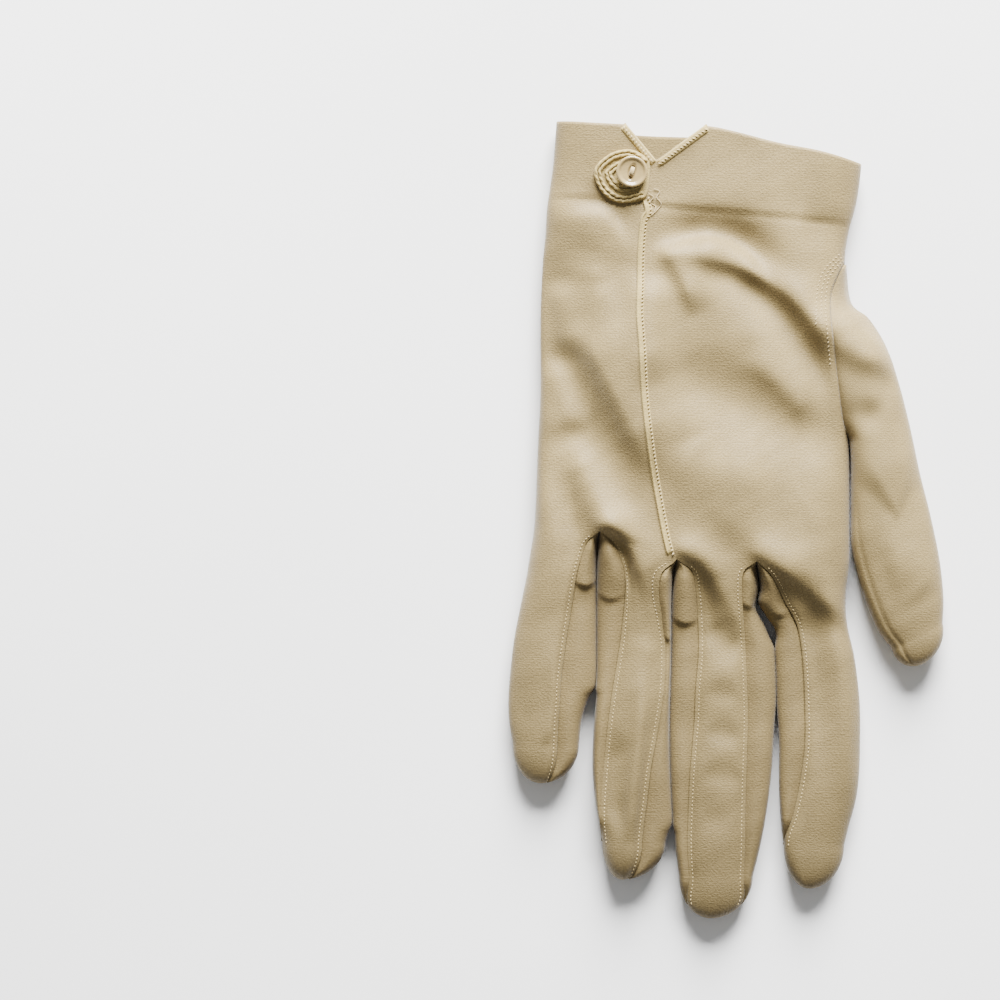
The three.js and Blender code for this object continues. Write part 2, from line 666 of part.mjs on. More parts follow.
function palmRow(share, isBack, outerInset, innerInset) {
  const row = [];
  for (let k = 0; k < fingers.length; k += 1) {
    const columns = columnsOf(k);
    const skip = k === 0 ? 0 : 1;
    for (const column of columns.slice(skip)) {
      const limit = column > 1 ? 1 + (column - 1) * (lastColumn(share, isBack) - 1) : column;
      row.push({
        outer: palmPoint(k, limit, share, isBack, outerInset),
        inner: palmPoint(k, limit, share, isBack, innerInset),
      });
    }
  }
  return isBack ? row.reverse() : row;
}

const fingerSteps = [
  ...fingerRows.map((share) => ({ share, angle: 0 })),
  ...capAngles.map((angle) => ({ share: 1, angle })),
];

function fingerPatch(k, columns, isBack) {
  return fingerSteps.map(({ share, angle }) => columns.map(
    (column) => panelPair(k, share, angle, column, isBack)));
}

// The trank: palm side, back, and the front and back panel of each finger, in one piece of cloth
function makeTrank() {
  const skin = new Skin();
  for (const isBack of [false, true]) {
    skin.patch(palmShares.map((share) => palmRow(share, isBack, 0, wall)));
    for (let k = 0; k < fingers.length; k += 1) {
      const columns = columnsOf(k);
      skin.patch(fingerPatch(k, isBack ? [...columns].reverse() : columns, isBack));
    }
  }
  return cutNotch(skin.solid());
}

function makeFacing() {
  const skin = new Skin();
  const steps = palmShares.filter((share) => share <= facingShare);
  for (const isBack of [false, true]) {
    skin.patch(steps.map((share) => palmRow(share, isBack, facingStart, facingEnd)));
  }
  return cutNotch(skin.solid());
}

// The V-shaped notch goes through the palm side only
function cutNotch(geometry) {
  const beyond = 4;
  const wedgeDepth = 20;
  const slopeLeft = notch.left.clone().sub(notch.foot).normalize().multiplyScalar(beyond).add(notch.left);
  const slopeRight = notch.right.clone().sub(notch.foot).normalize().multiplyScalar(beyond).add(notch.right);
  const shape = new THREE.Shape([notch.foot, slopeRight, slopeLeft]);
  const wedge = new THREE.ExtrudeGeometry(shape, { depth: wedgeDepth, bevelEnabled: false });
  wedge.translate(0, 0, edgeHeight + 1);
  return toGeometry(toSolid(geometry).subtract(toSolid(wedge)));
}

// A fourchette: one strip from a fingertip over the crotch to the next fingertip
function makeFourchette(k) {
  const skin = new Skin();
  const turnSteps = Array.from({ length: columnCounts.strip + 1 }, (_, j) => 1 + j / columnCounts.strip);
  const around = [
    ...turnSteps.map((column) => ({ column, isBack: false })),
    ...turnSteps.slice(0, -1).reverse().map((column) => ({ column, isBack: true })),
  ];
  const foot = crotches[k + 1];
  const web = around.map(({ column, isBack }) => {
    const outer = loosePoint(k, 0, 0, column, isBack, 0, true);
    const inner = loosePoint(k, 0, 0, column, isBack, wall, true);
    outer.set(foot.x, foot.y - webGap, outer.z);
    inner.set(foot.x, foot.y - webGap + webWall, inner.z);
    return { outer, inner };
  });
  const strip = (finger, sign, end) => fingerSteps.slice(1).filter(({ angle }) => angle <= end).map(
    ({ share, angle }) => around.map(({ column, isBack }) => ({
      outer: loosePoint(finger, share, angle, sign * column, isBack, 0, true),
      inner: loosePoint(finger, share, angle, sign * column, isBack, wall, true),
    })),
  );
  skin.patch([web, ...strip(k, 1, fingers[k].rightEnd)]);
  skin.patch([web, ...strip(k + 1, -1, fingers[k + 1].leftEnd)].map((row) => [...row].reverse()));
  return skin.solid();
}

// A point on the thumb: share runs from the hole to the cap; turnAngle goes from the inner edge to the outer
function thumbPoint(share, capDegrees, turnAngle, isBack, inset) {
  const row = thumbRows(share);
  const capAngle = capDegrees * Math.PI / 180;
  const outerEdge = new THREE.Vector2(row.outerX, row.outerY);
  const innerEdge = new THREE.Vector2(row.innerX, row.innerY);
  const middle = outerEdge.clone().add(innerEdge).multiplyScalar(0.5);
  const half = outerEdge.clone().sub(innerEdge).multiplyScalar(0.5);
  const place = -Math.cos(turnAngle) * (1 - inset / half.length());
  const depth = isBack ? edgeHeight : row.height - edgeHeight;
  const swell = Math.sin(turnAngle) ** thumbRoundness * (1 - inset / depth);
  const cap = thumbTip.clone().sub(middle);
  const capReach = Math.sin(capAngle) * (1 - inset / cap.length());
  const spot = middle.clone()
    .addScaledVector(half, place * Math.cos(capAngle))
    .addScaledVector(cap, capReach);
  const lift = depth + (isBack ? 0 : foldHeight(spot.x, spot.y));
  const z = edgeHeight + (isBack ? -1 : 1) * lift * swell * Math.cos(capAngle) ** capFlatness;
  const seated = (1 - ease(share / thumbBlend)) * (1 - (1 - Math.sin(turnAngle)) ** seatedEdge);
  const y = lerp(innerEdge.y, outerEdge.y, (place + 1) / 2);
  const baseY = Math.min(Math.max(y, thumbHole.bottom), thumbHole.top);
  const baseX = holeX(baseY, isBack) + gap + thumbHole.spare;
  const clothSection = palmSection(baseY, isBack);
  const turned = clothSection.right - clothSection.seamRight;
  const out = (baseX - gap - clothSection.seamRight) / turned;
  const column = 1 + Math.asin(Math.min(out, 1)) * 2 / Math.PI;
  const cloth = sectionPoint(clothSection, column, isBack, baseY, inset);
  const seat = new THREE.Vector3(baseX, y, cloth.z);
  return new THREE.Vector3(spot.x, spot.y, z).lerp(seat, seated);
}

function makeThumb() {
  const skin = new Skin();
  const steps = [
    ...Array.from({ length: thumbSections + 1 }, (_, i) => ({ share: i / thumbSections, angle: 0 })),
    ...thumbCapAngles.map((angle) => ({ share: 1, angle })),
  ];
  const turns = Array.from({ length: columnCounts.thumb + 1 }, (_, j) => Math.PI * j / columnCounts.thumb);
  for (const isBack of [false, true]) {
    const order = isBack ? [...turns].reverse() : turns;
    skin.patch(steps.map(({ share, angle }) => order.map((turnAngle) => ({
      outer: thumbPoint(share, angle, turnAngle, isBack, 0),
      inner: thumbPoint(share, angle, turnAngle, isBack, wall),
    }))));
  }
  return skin.solid();
}

// Height of the cloth under a place, found by dropping a line on the finished trank
function clothUnder(trank, x, y) {
  const above = 60;
  const ray = new THREE.Raycaster(new THREE.Vector3(x, y, above), new THREE.Vector3(0, 0, -1));
  const hits = ray.intersectObject(trank);
  return hits.length > 0 ? hits[0].point.z : 0;
}

// A low rounded rib that follows a path on the cloth
function makeRib(trank, path, width, height) {
  const rings = path.map((point, i) => {
    const before = path[Math.max(i - 1, 0)];
    const after = path[Math.min(i + 1, path.length - 1)];
    const along = after.clone().sub(before).normalize();
    const right = new THREE.Vector2(along.y, -along.x).multiplyScalar(width / 2);
    const samples = [-1, 0, 1].flatMap((side) => [-ribProbe, 0, ribProbe].map((step) => clothUnder(trank,
      point.x + side * right.x + step * along.x, point.y + side * right.y + step * along.y)));
    const base = Math.max(...samples) + gap + ribClear;
    return ribSection.map(({ across, up }) => new THREE.Vector3(
      point.x + across * right.x, point.y + across * right.y, base + up * height));
  });
  return ringSolid(rings);
}

function pathThrough(points, steps) {
  const flat = points.map(({ x, y }) => new THREE.Vector3(x, y, 0));
  const curve = new THREE.CatmullRomCurve3(flat, false, 'centripetal');
  return curve.getSpacedPoints(steps).map(({ x, y }) => new THREE.Vector2(x, y));
}

// An edge of the notch, set back from the cut by half its width
function bindingPath(from, to, side, ends) {
  const along = to.clone().sub(from).normalize();
  const setBack = binding.width / 2 + binding.clear;
  const away = new THREE.Vector2(along.y, -along.x).multiplyScalar(side * setBack);
  return Array.from({ length: binding.steps + 1 }, (_, i) => from.clone()
    .lerp(to, lerp(ends.start, ends.end, i / binding.steps)).add(away));
}

// Outline of the tab at a share of its size: a half round on the left, straight sides to the right
function tabOutline(size) {
  const points = [];
  for (let j = 0; j < tab.sides; j += 1) {
    const angle = 2 * Math.PI * j / tab.sides;
    const isEnd = Math.cos(angle) > 0;
    const x = Math.cos(angle) * (isEnd ? tab.end : tab.radius);
    const y = Math.sign(Math.sin(angle)) * Math.abs(Math.sin(angle)) ** (isEnd ? tab.squareness : 1);
    points.push(new THREE.Vector2(tab.x + x * size, tab.y + y * tab.halfWidth * size));
  }
  return points;
}

// The tab is a plate with stitched cords raised on it, ring inside ring
function makeTab(trank) {
  const probes = [0.3, 0.6, 0.85, 1].flatMap(tabOutline);
  const base = Math.max(...probes.map(({ x, y }) => clothUnder(trank, x, y))) + gap;
  const rings = [tabOutline(1).map(({ x, y }) => new THREE.Vector3(x, y, base))];
  for (let ring = 0; ring < tab.rings; ring += 1) {
    for (const [inward, up] of [[0, tab.cordFoot], [0.5, tab.cord], [1, 0]]) {
      const size = 1 - (ring + inward) * tab.ringStep + (inward === 1 ? tab.groove : 0);
      rings.push(tabOutline(size).map(({ x, y }) => new THREE.Vector3(x, y, base + tab.plate + up)));
    }
  }
  return { geometry: ringSolid(rings), top: base + tab.plate };
}

// The button: a turned disc with a raised rim, a boat-shaped eye and two holes
function makeButton() {
  const { radius, thickness, rim, rimRound, dish, dishSlope, footRound } = button;
  const profile = rowsOf('x y', [
    [0, 0],
    [radius - footRound, 0],
    [radius, footRound],
    [radius, thickness - rimRound],
    [radius - rimRound, thickness],
    [radius - rim, thickness],
    [radius - rim - dishSlope, thickness - dish],
    [0, thickness - dish - button.dishSag],
  ]);
  const disc = new THREE.LatheGeometry(profile.map(({ x, y }) => new THREE.Vector2(x, y)), button.sides);
  disc.rotateX(Math.PI / 2);
  let body = toSolid(disc);
  const eye = new THREE.SphereGeometry(1, 16, 8);
  eye.scale(button.eyeLength / 2, button.eyeWidth / 2, button.eyeDepth * 2);
  eye.translate(0, 0, thickness - dish + button.eyeLift);
  body = body.subtract(toSolid(eye));
  for (const side of [-1, 1]) {
    const hole = new THREE.CylinderGeometry(button.holeRadius, button.holeRadius, 4 * thickness, 10);
    hole.rotateX(Math.PI / 2);
    hole.translate(side * button.holes / 2, 0, 0);
    body = body.subtract(toSolid(hole));
  }
  return toGeometry(body);
}

// The thread: one bar over the bridge between the two holes, with an end down each hole
function makeThread() {
  const reach = button.holes / 2;
  const top = button.thickness - button.dish + thread.over;
  const path = new THREE.CatmullRomCurve3([
    new THREE.Vector3(-reach, 0, thread.foot),
    new THREE.Vector3(-reach, 0, top - thread.bend),
    new THREE.Vector3(-reach + thread.bend, 0, top),
    new THREE.Vector3(reach - thread.bend, 0, top),
    new THREE.Vector3(reach, 0, top - thread.bend),
    new THREE.Vector3(reach, 0, thread.foot),
  ], false, 'centripetal');
  const section = new THREE.Shape(Array.from({ length: thread.sides }, (_, j) => {
    const angle = 2 * Math.PI * j / thread.sides;
    return new THREE.Vector2(Math.cos(angle), Math.sin(angle)).multiplyScalar(thread.radius);
  }));
  return new THREE.ExtrudeGeometry(section, { extrudePath: path, steps: thread.steps, bevelEnabled: false });
}

// Assembly
const cloth = new THREE.MeshStandardMaterial({ color: 0xc6b691, roughness: 0.62, metalness: 0 });
const stripCloth = new THREE.MeshStandardMaterial({ color: 0xbfae88, roughness: 0.62, metalness: 0 });
const insideCloth = new THREE.MeshStandardMaterial({ color: 0xb9a782, roughness: 0.75, metalness: 0 });
const trimCloth = new THREE.MeshStandardMaterial({ color: 0xcbbd9a, roughness: 0.6, metalness: 0 });
const pearl = new THREE.MeshStandardMaterial({ color: 0xd8c3a2, roughness: 0.28, metalness: 0 });
const cotton = new THREE.MeshStandardMaterial({ color: 0xe0d4b8, roughness: 0.8, metalness: 0 });

const glove = new THREE.Group();

function place(name, geometry, material) {
  const mesh = new THREE.Mesh(geometry, material);
  mesh.name = name;
  glove.add(mesh);
  return mesh;
}

const trank = place('trank', makeTrank(), cloth);
trank.updateMatrixWorld(true);
place('cuff_facing', makeFacing(), insideCloth);
place('fourchette_pinky_ring', makeFourchette(0), stripCloth);
place('fourchette_ring_middle', makeFourchette(1), stripCloth);
place('fourchette_middle_index', makeFourchette(2), stripCloth);
place('thumb', makeThumb(), cloth);
const ridge = pathThrough(centreSeam, seamRidge.steps);
place('centre_seam', makeRib(trank, ridge, seamRidge.width, seamRidge.height), trimCloth);
const leftBinding = bindingPath(notch.left, notch.foot, 1, leftBindingEnds);
const rightBinding = bindingPath(notch.right, notch.foot, -1, rightBindingEnds);
place('notch_binding_left', makeRib(trank, leftBinding, binding.width, binding.height), trimCloth);
place('notch_binding_right', makeRib(trank, rightBinding, binding.width, binding.height), trimCloth);
const tabPiece = makeTab(trank);
place('button_tab', tabPiece.geometry, trimCloth);

const fastening = new THREE.Group();
fastening.position.set(buttonSpot.x, buttonSpot.y, tabPiece.top + tab.cord + gap);
fastening.rotation.z = button.eyeAngle * Math.PI / 180;
glove.add(fastening);
fastening.add(place('button', makeButton(), pearl));
fastening.add(place('button_thread', makeThread(), cotton));

export default glove;
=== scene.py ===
import math
from types import SimpleNamespace

import bmesh
import bpy
import numpy as np
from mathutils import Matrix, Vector


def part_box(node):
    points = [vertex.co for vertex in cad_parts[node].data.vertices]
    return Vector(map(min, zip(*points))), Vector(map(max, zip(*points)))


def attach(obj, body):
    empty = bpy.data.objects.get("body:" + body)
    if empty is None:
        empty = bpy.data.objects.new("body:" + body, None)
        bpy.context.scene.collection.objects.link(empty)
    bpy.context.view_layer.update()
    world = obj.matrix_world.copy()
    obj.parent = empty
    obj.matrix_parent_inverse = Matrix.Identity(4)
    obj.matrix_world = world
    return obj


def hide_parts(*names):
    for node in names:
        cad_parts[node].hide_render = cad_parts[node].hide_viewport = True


bl_info = {
    "name": "Knitted dress glove",
    "version": (1, 0, 0),
    "blender": (4, 5, 0),
    "location": "View3D > Sidebar > Glove",
    "description": "Builds the cloth, seams, stitches and button of a dress glove that lies palm side up",
    "category": "Object",
}

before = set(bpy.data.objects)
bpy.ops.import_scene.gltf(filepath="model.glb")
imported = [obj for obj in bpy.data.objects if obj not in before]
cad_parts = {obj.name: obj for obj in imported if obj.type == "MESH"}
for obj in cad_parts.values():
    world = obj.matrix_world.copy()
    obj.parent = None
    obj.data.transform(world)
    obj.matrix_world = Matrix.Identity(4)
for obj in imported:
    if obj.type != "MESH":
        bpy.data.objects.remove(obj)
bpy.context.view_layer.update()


def table(names, rows):
    """Named columns of numbers: for each name, the array of its values down the rows."""
    return dict(zip(names.split(), np.array(rows, float).T))


MM = 0.001
MERGE = 0.01               # points closer than this are one
EDGE_HEIGHT = 4.4          # height of the folded edge above the table
SEAM_DROP = 1.7            # how far a finger's seams lie below its crown
SEAM_REACH = 22.0          # length below a crotch over which they sink that far
STRIP_FADE = 10.0          # length over which a finger's slot closes towards the tip
STRIP_TAIL = 2.0           # length of the slot beyond the end of its strip
PALM_CARRY = 0.4           # share of a finger over which the palm's own form carries on
CAP_FLATNESS = 0.7         # how bluntly a fingertip ends, where 1 is a half round
BACK_CUFF_DROP = 2.6       # how much lower the cuff's edge is on the back of the hand
HEM_DEPTH = 0.2            # share of the palm's length that the turned-in layer covers
HEM_STEP = 0.3             # height of the step at the hem, and depth of the furrow along it
HEM_SOFTNESS = 1.2         # width of that step
HEM_FURROW = 0.8           # half width of the furrow
FACING_GAP = 0.15          # space between the cloth and the cuff's inner layer
SEAM_STITCH_INSET = 1.1    # distance of a seam's stitches from the edge of its panel
LAP_FURROW = 0.28          # depth of the furrow that the stitches draw into the cloth
LAP_WIDTH = 0.5            # half width of that furrow
THUMB_SEAM_START = 0.45    # share of the thumb at which its inner seam comes into sight
THUMB_SEAM_FADE = 0.1      # share of the thumb over which it comes fully into sight
THUMB_SEAM_INSET = 2.7     # distance of that seam from the thumb's outline
THUMB_FULLNESS = 0.8       # power of the thumb's round section, where 1 is an ellipse and less is fuller
THUMB_TUCK = 0.5           # how far the thumb's cloth lies under the palm's at its seam
BINDING_LAP = 0.35         # how far the bindings stand out past the notch's cut edge
BINDING_HEIGHT = 0.55      # how far the notch's bindings stand up from the cloth
BINDING_DROP = 2.2         # how far they turn down over the cut edge, against that height
BINDING_TURN = 0.72        # where across them the turn starts
NOTCH_STITCHES = 1.0       # distance of the notch's stitches from the bindings' inner edge
LEFT_FULLNESS = 0.5        # power of the strips' round section on the fingers' left sides: 1 is an ellipse
RIGHT_FULLNESS = 0.85      # the same on their right sides, where a smaller power is fuller
STRIP_TUCK = 1.2           # how far below the panel's edge a strip starts
TUCK_SHARE = 0.3           # share of its width over which it comes up from there
STRIP_BULGE = 0.7          # how far the strips stand out between their seams
PUFF_START = 6.0           # length below a slot's foot over which a strip's puff swells
PUFF_STEP = 1.9            # length of the step down from it
PUFF_TAIL = 9.0            # length of the dip beyond the step
PUFF_BOW = 2.0             # how far the ends of that step lie above its middle
PUFF_LEAN = 1.3            # how far the puff leans to the finger's edge, where 1 is even
PUFF_FULLNESS = 0.55       # power of its half wave, where less is fuller
TOUCH_GAP = 0.3            # gap between two fingers' edges that their strips still fill
TOUCH_FADE = 1.6           # further gap over which they draw back
TOUCH_PRESS = 0.06         # how far they are pressed together there
TAB_PLATE = 0.7            # thickness of the tab on the cloth
TAB_RIM = 0.05             # share of the tab that its rounded rim takes up
TAB_MIDDLE = (-0.8, -0.6)  # from the button's middle to the tab's
TAB_CORD = 0.58            # radius of the cords that are sewn round on it
CORD_OFFSETS = (0.6, 1.7, 3.6, 4.7)  # distance of each from the tab's outline
CORD_TWIST = 0.14          # how deep the plies of a cord are cut in, as a share of its radius
CORD_PITCH = 1.9           # length over which they go once round
BUTTON_RIM = 0.55          # how deep the button's face lies below its rim
BUTTON_SINK = 0.5          # how far the button is pulled down into its tab
BUTTON_ANGLE = 1.28        # turn of the button's eye from the line across the hand
STRAND_RADIUS = 0.22       # radius of the strands that hold the button
STRAND_REACH = 1.25        # half of the distance from hole to hole of the button
STRAND_OFFSETS = (-0.34, 0.0, 0.34)  # place of each across the line from hole to hole
LOOSE_RADIUS = 0.12        # radius of the loose ends of thread
LOOSE_LIFT = 0.3           # height of their middle above the cloth

# Folds: points on each curve, widths out to which a fold is felt, share over which its ends fade out
FOLD_POINTS = 25
FOLD_REACH = 3
FOLD_FADE = 0.3

# Unevenness of worn cloth: heights of its slow and its quick waves, how far one wave bends two of the
# others, and how many radians each turns for a millimetre in x and in y
CRUMPLE = SimpleNamespace(
    slow=0.12, quick=0.04, bend=2.2, shift=1.7, bending=(0.11, -0.07),
    slow_waves=((0.23, 0.11), (0.09, -0.27)), quick_waves=((0.61, -0.35), (0.17, 0.52)),
)

# Raised seam of the palm: heights as shares of its height, places and widths as shares of half its width
WELT = SimpleNamespace(
    body=0.55, ridge=0.45, ridge_place=-0.62, ridge_width=0.24, furrow=0.36, furrow_width=0.2, stitches=0.55,
)

# Bands on the palm: columns, rows over which their ends fade, and how deep their edges and ends lie
BAND = SimpleNamespace(columns=15, fade=4, sink=0.06, end_sink=0.12)

# Button: the radius of its face, the eye's length and width and the holes' place are shares of its
# radius, the eye's floor and slope shares of the eye, and all the rest is in millimetres
BUTTON_FACE = 0.68
BUTTON_DISH = 0.18         # how much deeper the middle of the face lies than its rim
BUTTON_EYE = SimpleNamespace(length=0.6, width=0.29, depth=0.5, floor=0.55, slope=0.5)
BUTTON_HOLES = SimpleNamespace(place=0.27, radius=0.32, slope=0.3, depth=1.3)

# Stitches: rings of the little tube that each of them is, from end to end, with their girth against the
# thread's radius; how flat the tube is, how high it lies and how far its ends go down, against the same
STITCH_RINGS = table("step girth", [(-1, 0.25), (-0.86, 0.8), (-0.4, 1), (0.4, 1), (0.86, 0.8), (1, 0.25)])
STITCH_SIDES = 6
STITCH = SimpleNamespace(flatness=0.9, lift=0.35, dip=2.2)
UNSTITCHED_STEPS = 6       # steps of a finger's stitch line, at the crotch, that have no stitches
DIRECTION_STEP = 0.2       # distance to both sides over which a path's direction is read
SLOPE_STEP = 0.3           # distance to both sides over which the cloth's slope is read

# Rows and columns of the meshes
PALM_ROWS = 140
PANEL_ROWS = 90
STRIP_ROWS = 180
FRONT_COLUMNS = 21
BACK_COLUMNS = 9
FACING_COLUMNS = 15
EDGE_COLUMNS = 12

# The knit: its clouds and the uneven places of its yarn to a millimetre, how much the loops and the yarn
# show in its relief and its colour (in the loops' colour, painted shade between their rows), the sums at its
# darkest and its lightest, and where along the hand the painted shade towards the fingertips starts and ends
CLOUDS_PER_MM = 0.09
YARN_PER_MM = 1.7
LOOP_RELIEF = 0.03
# painted shade of the loops in the cloth's colour, darker between their rows
LOOP_PAINTED_SHADE = 0.015
YARN_SHADE = 2.0
SHADE_RANGE = (1.1, 1.9)
TIP_PAINTED_SHADE = 0.6              # painted shade: how dark the cloth is drawn at the fingertips, as a share
TIP_PAINTED_SHADE_LEVELS = (-110.0, 10.0)
TONES = (0.8, 1.2)         # factors of a material's darker and lighter tone

# Stage, in metres: floor, light of the surroundings, lamps with their spots, sizes and watts, and camera
FLOOR_LEVEL = -0.0005
FLOOR_REACH = 2
WORLD_LIGHT = 0.36
LIGHTS = (
    ("window_light", (0.154, 1.5, 0.75), 1.0, 290.0),
)
CAMERA_SPOT = (-0.0652, 0.0056, 1.3)
VIEW_LEVEL = 0.008         # height at which the view is as wide as the next value says
VIEW_WIDTH = 0.288


# Outer edges of the flattened hand, and the height of the palm side, in millimetres
PALM = table("y left right height", [
    (114.8, -48.9, 39.6, 11.8),
    (103, -49.8, 39.2, 11.8),
    (96, -50.7, 38.5, 11.9),
    (90, -51.6, 37.4, 12.0),
    (82, -52.1, 35.3, 12.4),
    (75, -52.8, 34.4, 13.0),
    (59, -53.5, 34.2, 14.0),
    (37, -53.5, 34.8, 14.4),
    (20, -54.3, 35.6, 14.4),
    (4, -54.9, 35.7, 14.0),
    (-4, -55.5, 35.7, 13.6),
    (-12, -56.9, 35.7, 13.4),
])
CUFF_CORNERS = (-48.9, 39.2)

# Top edge of the cuff on the palm side, and the notch in it
CUFF_LINE = table("x y", [
    (-48.9, 114.8),
    (-29, 113.5),
    (-6, 113.0),
    (1.6, 111.6),
    (14, 108.4),
    (27, 105.8),
    (39.2, 102.4),
])
NOTCH = table("x y", [
    (-29.2, 113.4),
    (-20.3, 102.7),
    (-6.2, 113.0),
])

# Line along which the turned-in layer of the cuff is caught down
HEM_LINE = table("x y", [
    (-50, 92.6),
    (-24, 91.6),
    (-19, 90),
    (0, 88.4),
    (20, 86.4),
    (38, 84.6),
])

# Where the cloth turns down towards the edge, measured in from it
TURN = SimpleNamespace(
    palm_left=15, palm_right=15, crotch_left=9, crotch_right=12, back=6, palm_end=40, crotch_end=-4,
)

# Feet of the finger slots, with the outer edges at the same level
CROTCHES = table("x y", [
    (-55.5, -4.0),
    (-36.6, -3.3),
    (-14.5, -11.4),
    (8.4, -12.0),
    (35.7, -12.0),
])

# Fingers: outline and seams of the palm side, and the crown's height, a row for each section
FINGER_COLUMNS = "y left seam_left seam_right right height"
FINGERS = [
    SimpleNamespace(
        name="pinky", cap=-65, tip=(-53.4, -76.2), left_end=None, right_end=78,
        rows=table(FINGER_COLUMNS, [
            (-3.3, -55.5, -46.5, -36.6, -36.6, 13.6),
            (-6, -55.9, -46.9, -39.9, -37.2, 13.3),
            (-10, -56.6, -47.6, -41.6, -37.5, 12.6),
            (-16, -57.5, -48.8, -43.2, -37.6, 11.8),
            (-25, -59.3, -50.6, -44.6, -37.6, 11.2),
            (-35, -61.2, -52.4, -46.2, -37.6, 10.8),
            (-47, -62.5, -54, -47.7, -37.7, 10.6),
            (-53, -62.8, -54.6, -48, -40.2, 10.5),
            (-58, -62.6, -54.6, -48.4, -41.6, 10.3),
            (-65, -61.5, -54, -48.7, -42.4, 10.0),
        ]),
    ),
    SimpleNamespace(
        name="ring", cap=-93, tip=(-30, -104), left_end=0, right_end=78,
        rows=table(FINGER_COLUMNS, [
            (-3.3, -36.6, -36.6, -14.5, -14.5, 13.6),
            (-7, -36.7, -32.3, -14.5, -14.5, 13.6),
            (-11.4, -36.9, -30.3, -14.5, -14.5, 13.4),
            (-15, -37, -29.2, -18.6, -15.3, 12.8),
            (-21, -37, -29.1, -19.6, -15.8, 11.6),
            (-28, -37, -29.7, -18.6, -16, 10.8),
            (-36, -37, -30.7, -17.6, -16, 10.4),
            (-49, -37.3, -32.8, -18, -16.3, 10.8),
            (-61, -38.2, -34.4, -19.8, -16.5, 10.8),
            (-72, -38.5, -35.4, -21.8, -16.3, 10.7),
            (-82, -37.6, -36.2, -23, -15.8, 10.4),
            (-87, -36.7, -36.2, -23.7, -15.7, 10.3),
            (-93, -35.7, -35.4, -24.3, -17.4, 10.0),
        ]),
    ),
    SimpleNamespace(
        name="middle", cap=-103, tip=(-4.5, -115.2), left_end=42, right_end=42,
        rows=table(FINGER_COLUMNS, [
            (-11.4, -14.5, -14.5, 8.4, 8.4, 13.6),
            (-12, -14.6, -13.7, 8.4, 8.4, 13.5),
            (-14.5, -14.8, -10.2, 4.9, 8.7, 13.2),
            (-20, -15.2, -8.9, 4.2, 9.2, 12.0),
            (-25, -15.4, -8.4, 4.5, 8.4, 11.2),
            (-31, -15.4, -8.1, 5, 11.4, 10.8),
            (-38, -15.4, -8, 5.5, 13.8, 10.6),
            (-49, -15.8, -8.9, 6, 14.3, 10.4),
            (-58, -16, -9.2, 6.2, 13.9, 10.2),
            (-72, -15.8, -10.4, 5.8, 13.3, 10.0),
            (-85, -15.2, -11, 5.5, 11.7, 9.6),
            (-95, -14.5, -11.2, 5.4, 9.8, 9.2),
            (-103, -13.5, -10.7, 5.1, 7.8, 8.8),
        ]),
    ),
    SimpleNamespace(
        name="index", cap=-94, tip=(24, -106.6), left_end=0, right_end=None,
        rows=table(FINGER_COLUMNS, [
            (-12, 8.4, 8.4, 23.7, 35.7, 13.4),
            (-15.5, 9.4, 12.2, 23.6, 35.4, 13.2),
            (-20, 10, 14.9, 24.4, 34.8, 12.4),
            (-24, 9.5, 16.8, 25.2, 34.6, 11.8),
            (-28, 11.6, 19.2, 26.2, 34.8, 11.2),
            (-32, 14.2, 20.7, 27.4, 35.4, 10.8),
            (-40, 14.4, 21.9, 29, 37.2, 10.4),
            (-53, 15, 22.6, 30.2, 38.7, 10.2),
            (-65, 15.4, 22.6, 30.4, 38.8, 10.0),
            (-74, 15.3, 21.5, 29.8, 38.5, 9.8),
            (-81, 15.5, 20.2, 28.8, 37.6, 9.6),
            (-88, 16, 18.6, 27.2, 35.7, 9.2),
            (-94, 16.7, 17.2, 25.6, 34.2, 8.8),
        ]),
    ),
]

# Puffs of the side strips at their crotches: finger, side of it, where the step down from it is, its
# height over the strip, and the depth of the dip beyond
STRIP_PUFFS = table("finger side end rise dip", [
    (0, 1, -18.6, 0.9, 0.5),
    (1, -1, -22.4, 0.75, 0),
    (1, 1, -34, 0.6, 0.4),
    (2, -1, -29.4, 0.85, 0.3),
    (2, 1, -24.6, 0.4, 0.6),
    (3, -1, -27, 0.7, 0.2),
])

# Seam between the palm side and the thumb, and the hole that the thumb is set into
THUMB_SEAM = table("y x", [
    (74.2, 34.4),
    (69.5, 31.8),
    (65, 30.1),
    (59, 29.8),
    (52, 30.4),
    (44, 31.4),
    (35, 32.6),
    (28, 33.8),
    (22.9, 35.6),
])
HOLE = SimpleNamespace(top=74.2, bottom=22.9, back_inset=1.6, corner=12, lap=0.3)

THUMB = table("share outer_x outer_y inner_x inner_y height", [
    (0, 34.8, 73.5, 36.0, 23.6, 13.8),
    (0.1, 36.2, 62.6, 36.1, 21.6, 13.8),
    (0.2, 41.3, 58, 36.1, 18.8, 13.6),
    (0.3, 46.3, 50, 36.1, 14.5, 13.2),
    (0.4, 49.9, 39.5, 36.1, 8.5, 12.8),
    (0.5, 53, 27.5, 36.1, 1, 12.2),
    (0.6, 56, 13.5, 36.2, -7.5, 11.8),
    (0.7, 59, 1.5, 38, -16, 11.4),
    (0.8, 61.6, -11, 40.8, -24.6, 11),
    (0.9, 62.8, -22, 44.2, -32.4, 10.4),
    (1, 62.6, -30, 48, -37.4, 9.6),
])
# Rows of overcast stitches beside the top of that seam: points along each
THUMB_ROWS = (
    ((32.7, 76.5), (28.1, 71.9), (26.2, 67.5), (25.5, 63.2), (25.2, 58.3), (25.2, 55.4)),
    ((33.4, 75.6), (29.6, 71.9), (27.7, 68.2), (27.0, 64.0), (26.8, 59.0)),
    ((33.8, 74.7), (31.0, 71.9), (29.1, 69.0), (28.4, 64.7), (28.1, 60.3), (28.5, 53.0), (29.6, 44.0)),
)
THUMB_TIP = np.array((57.2, -41.6))
THUMB_BLEND = 0.35

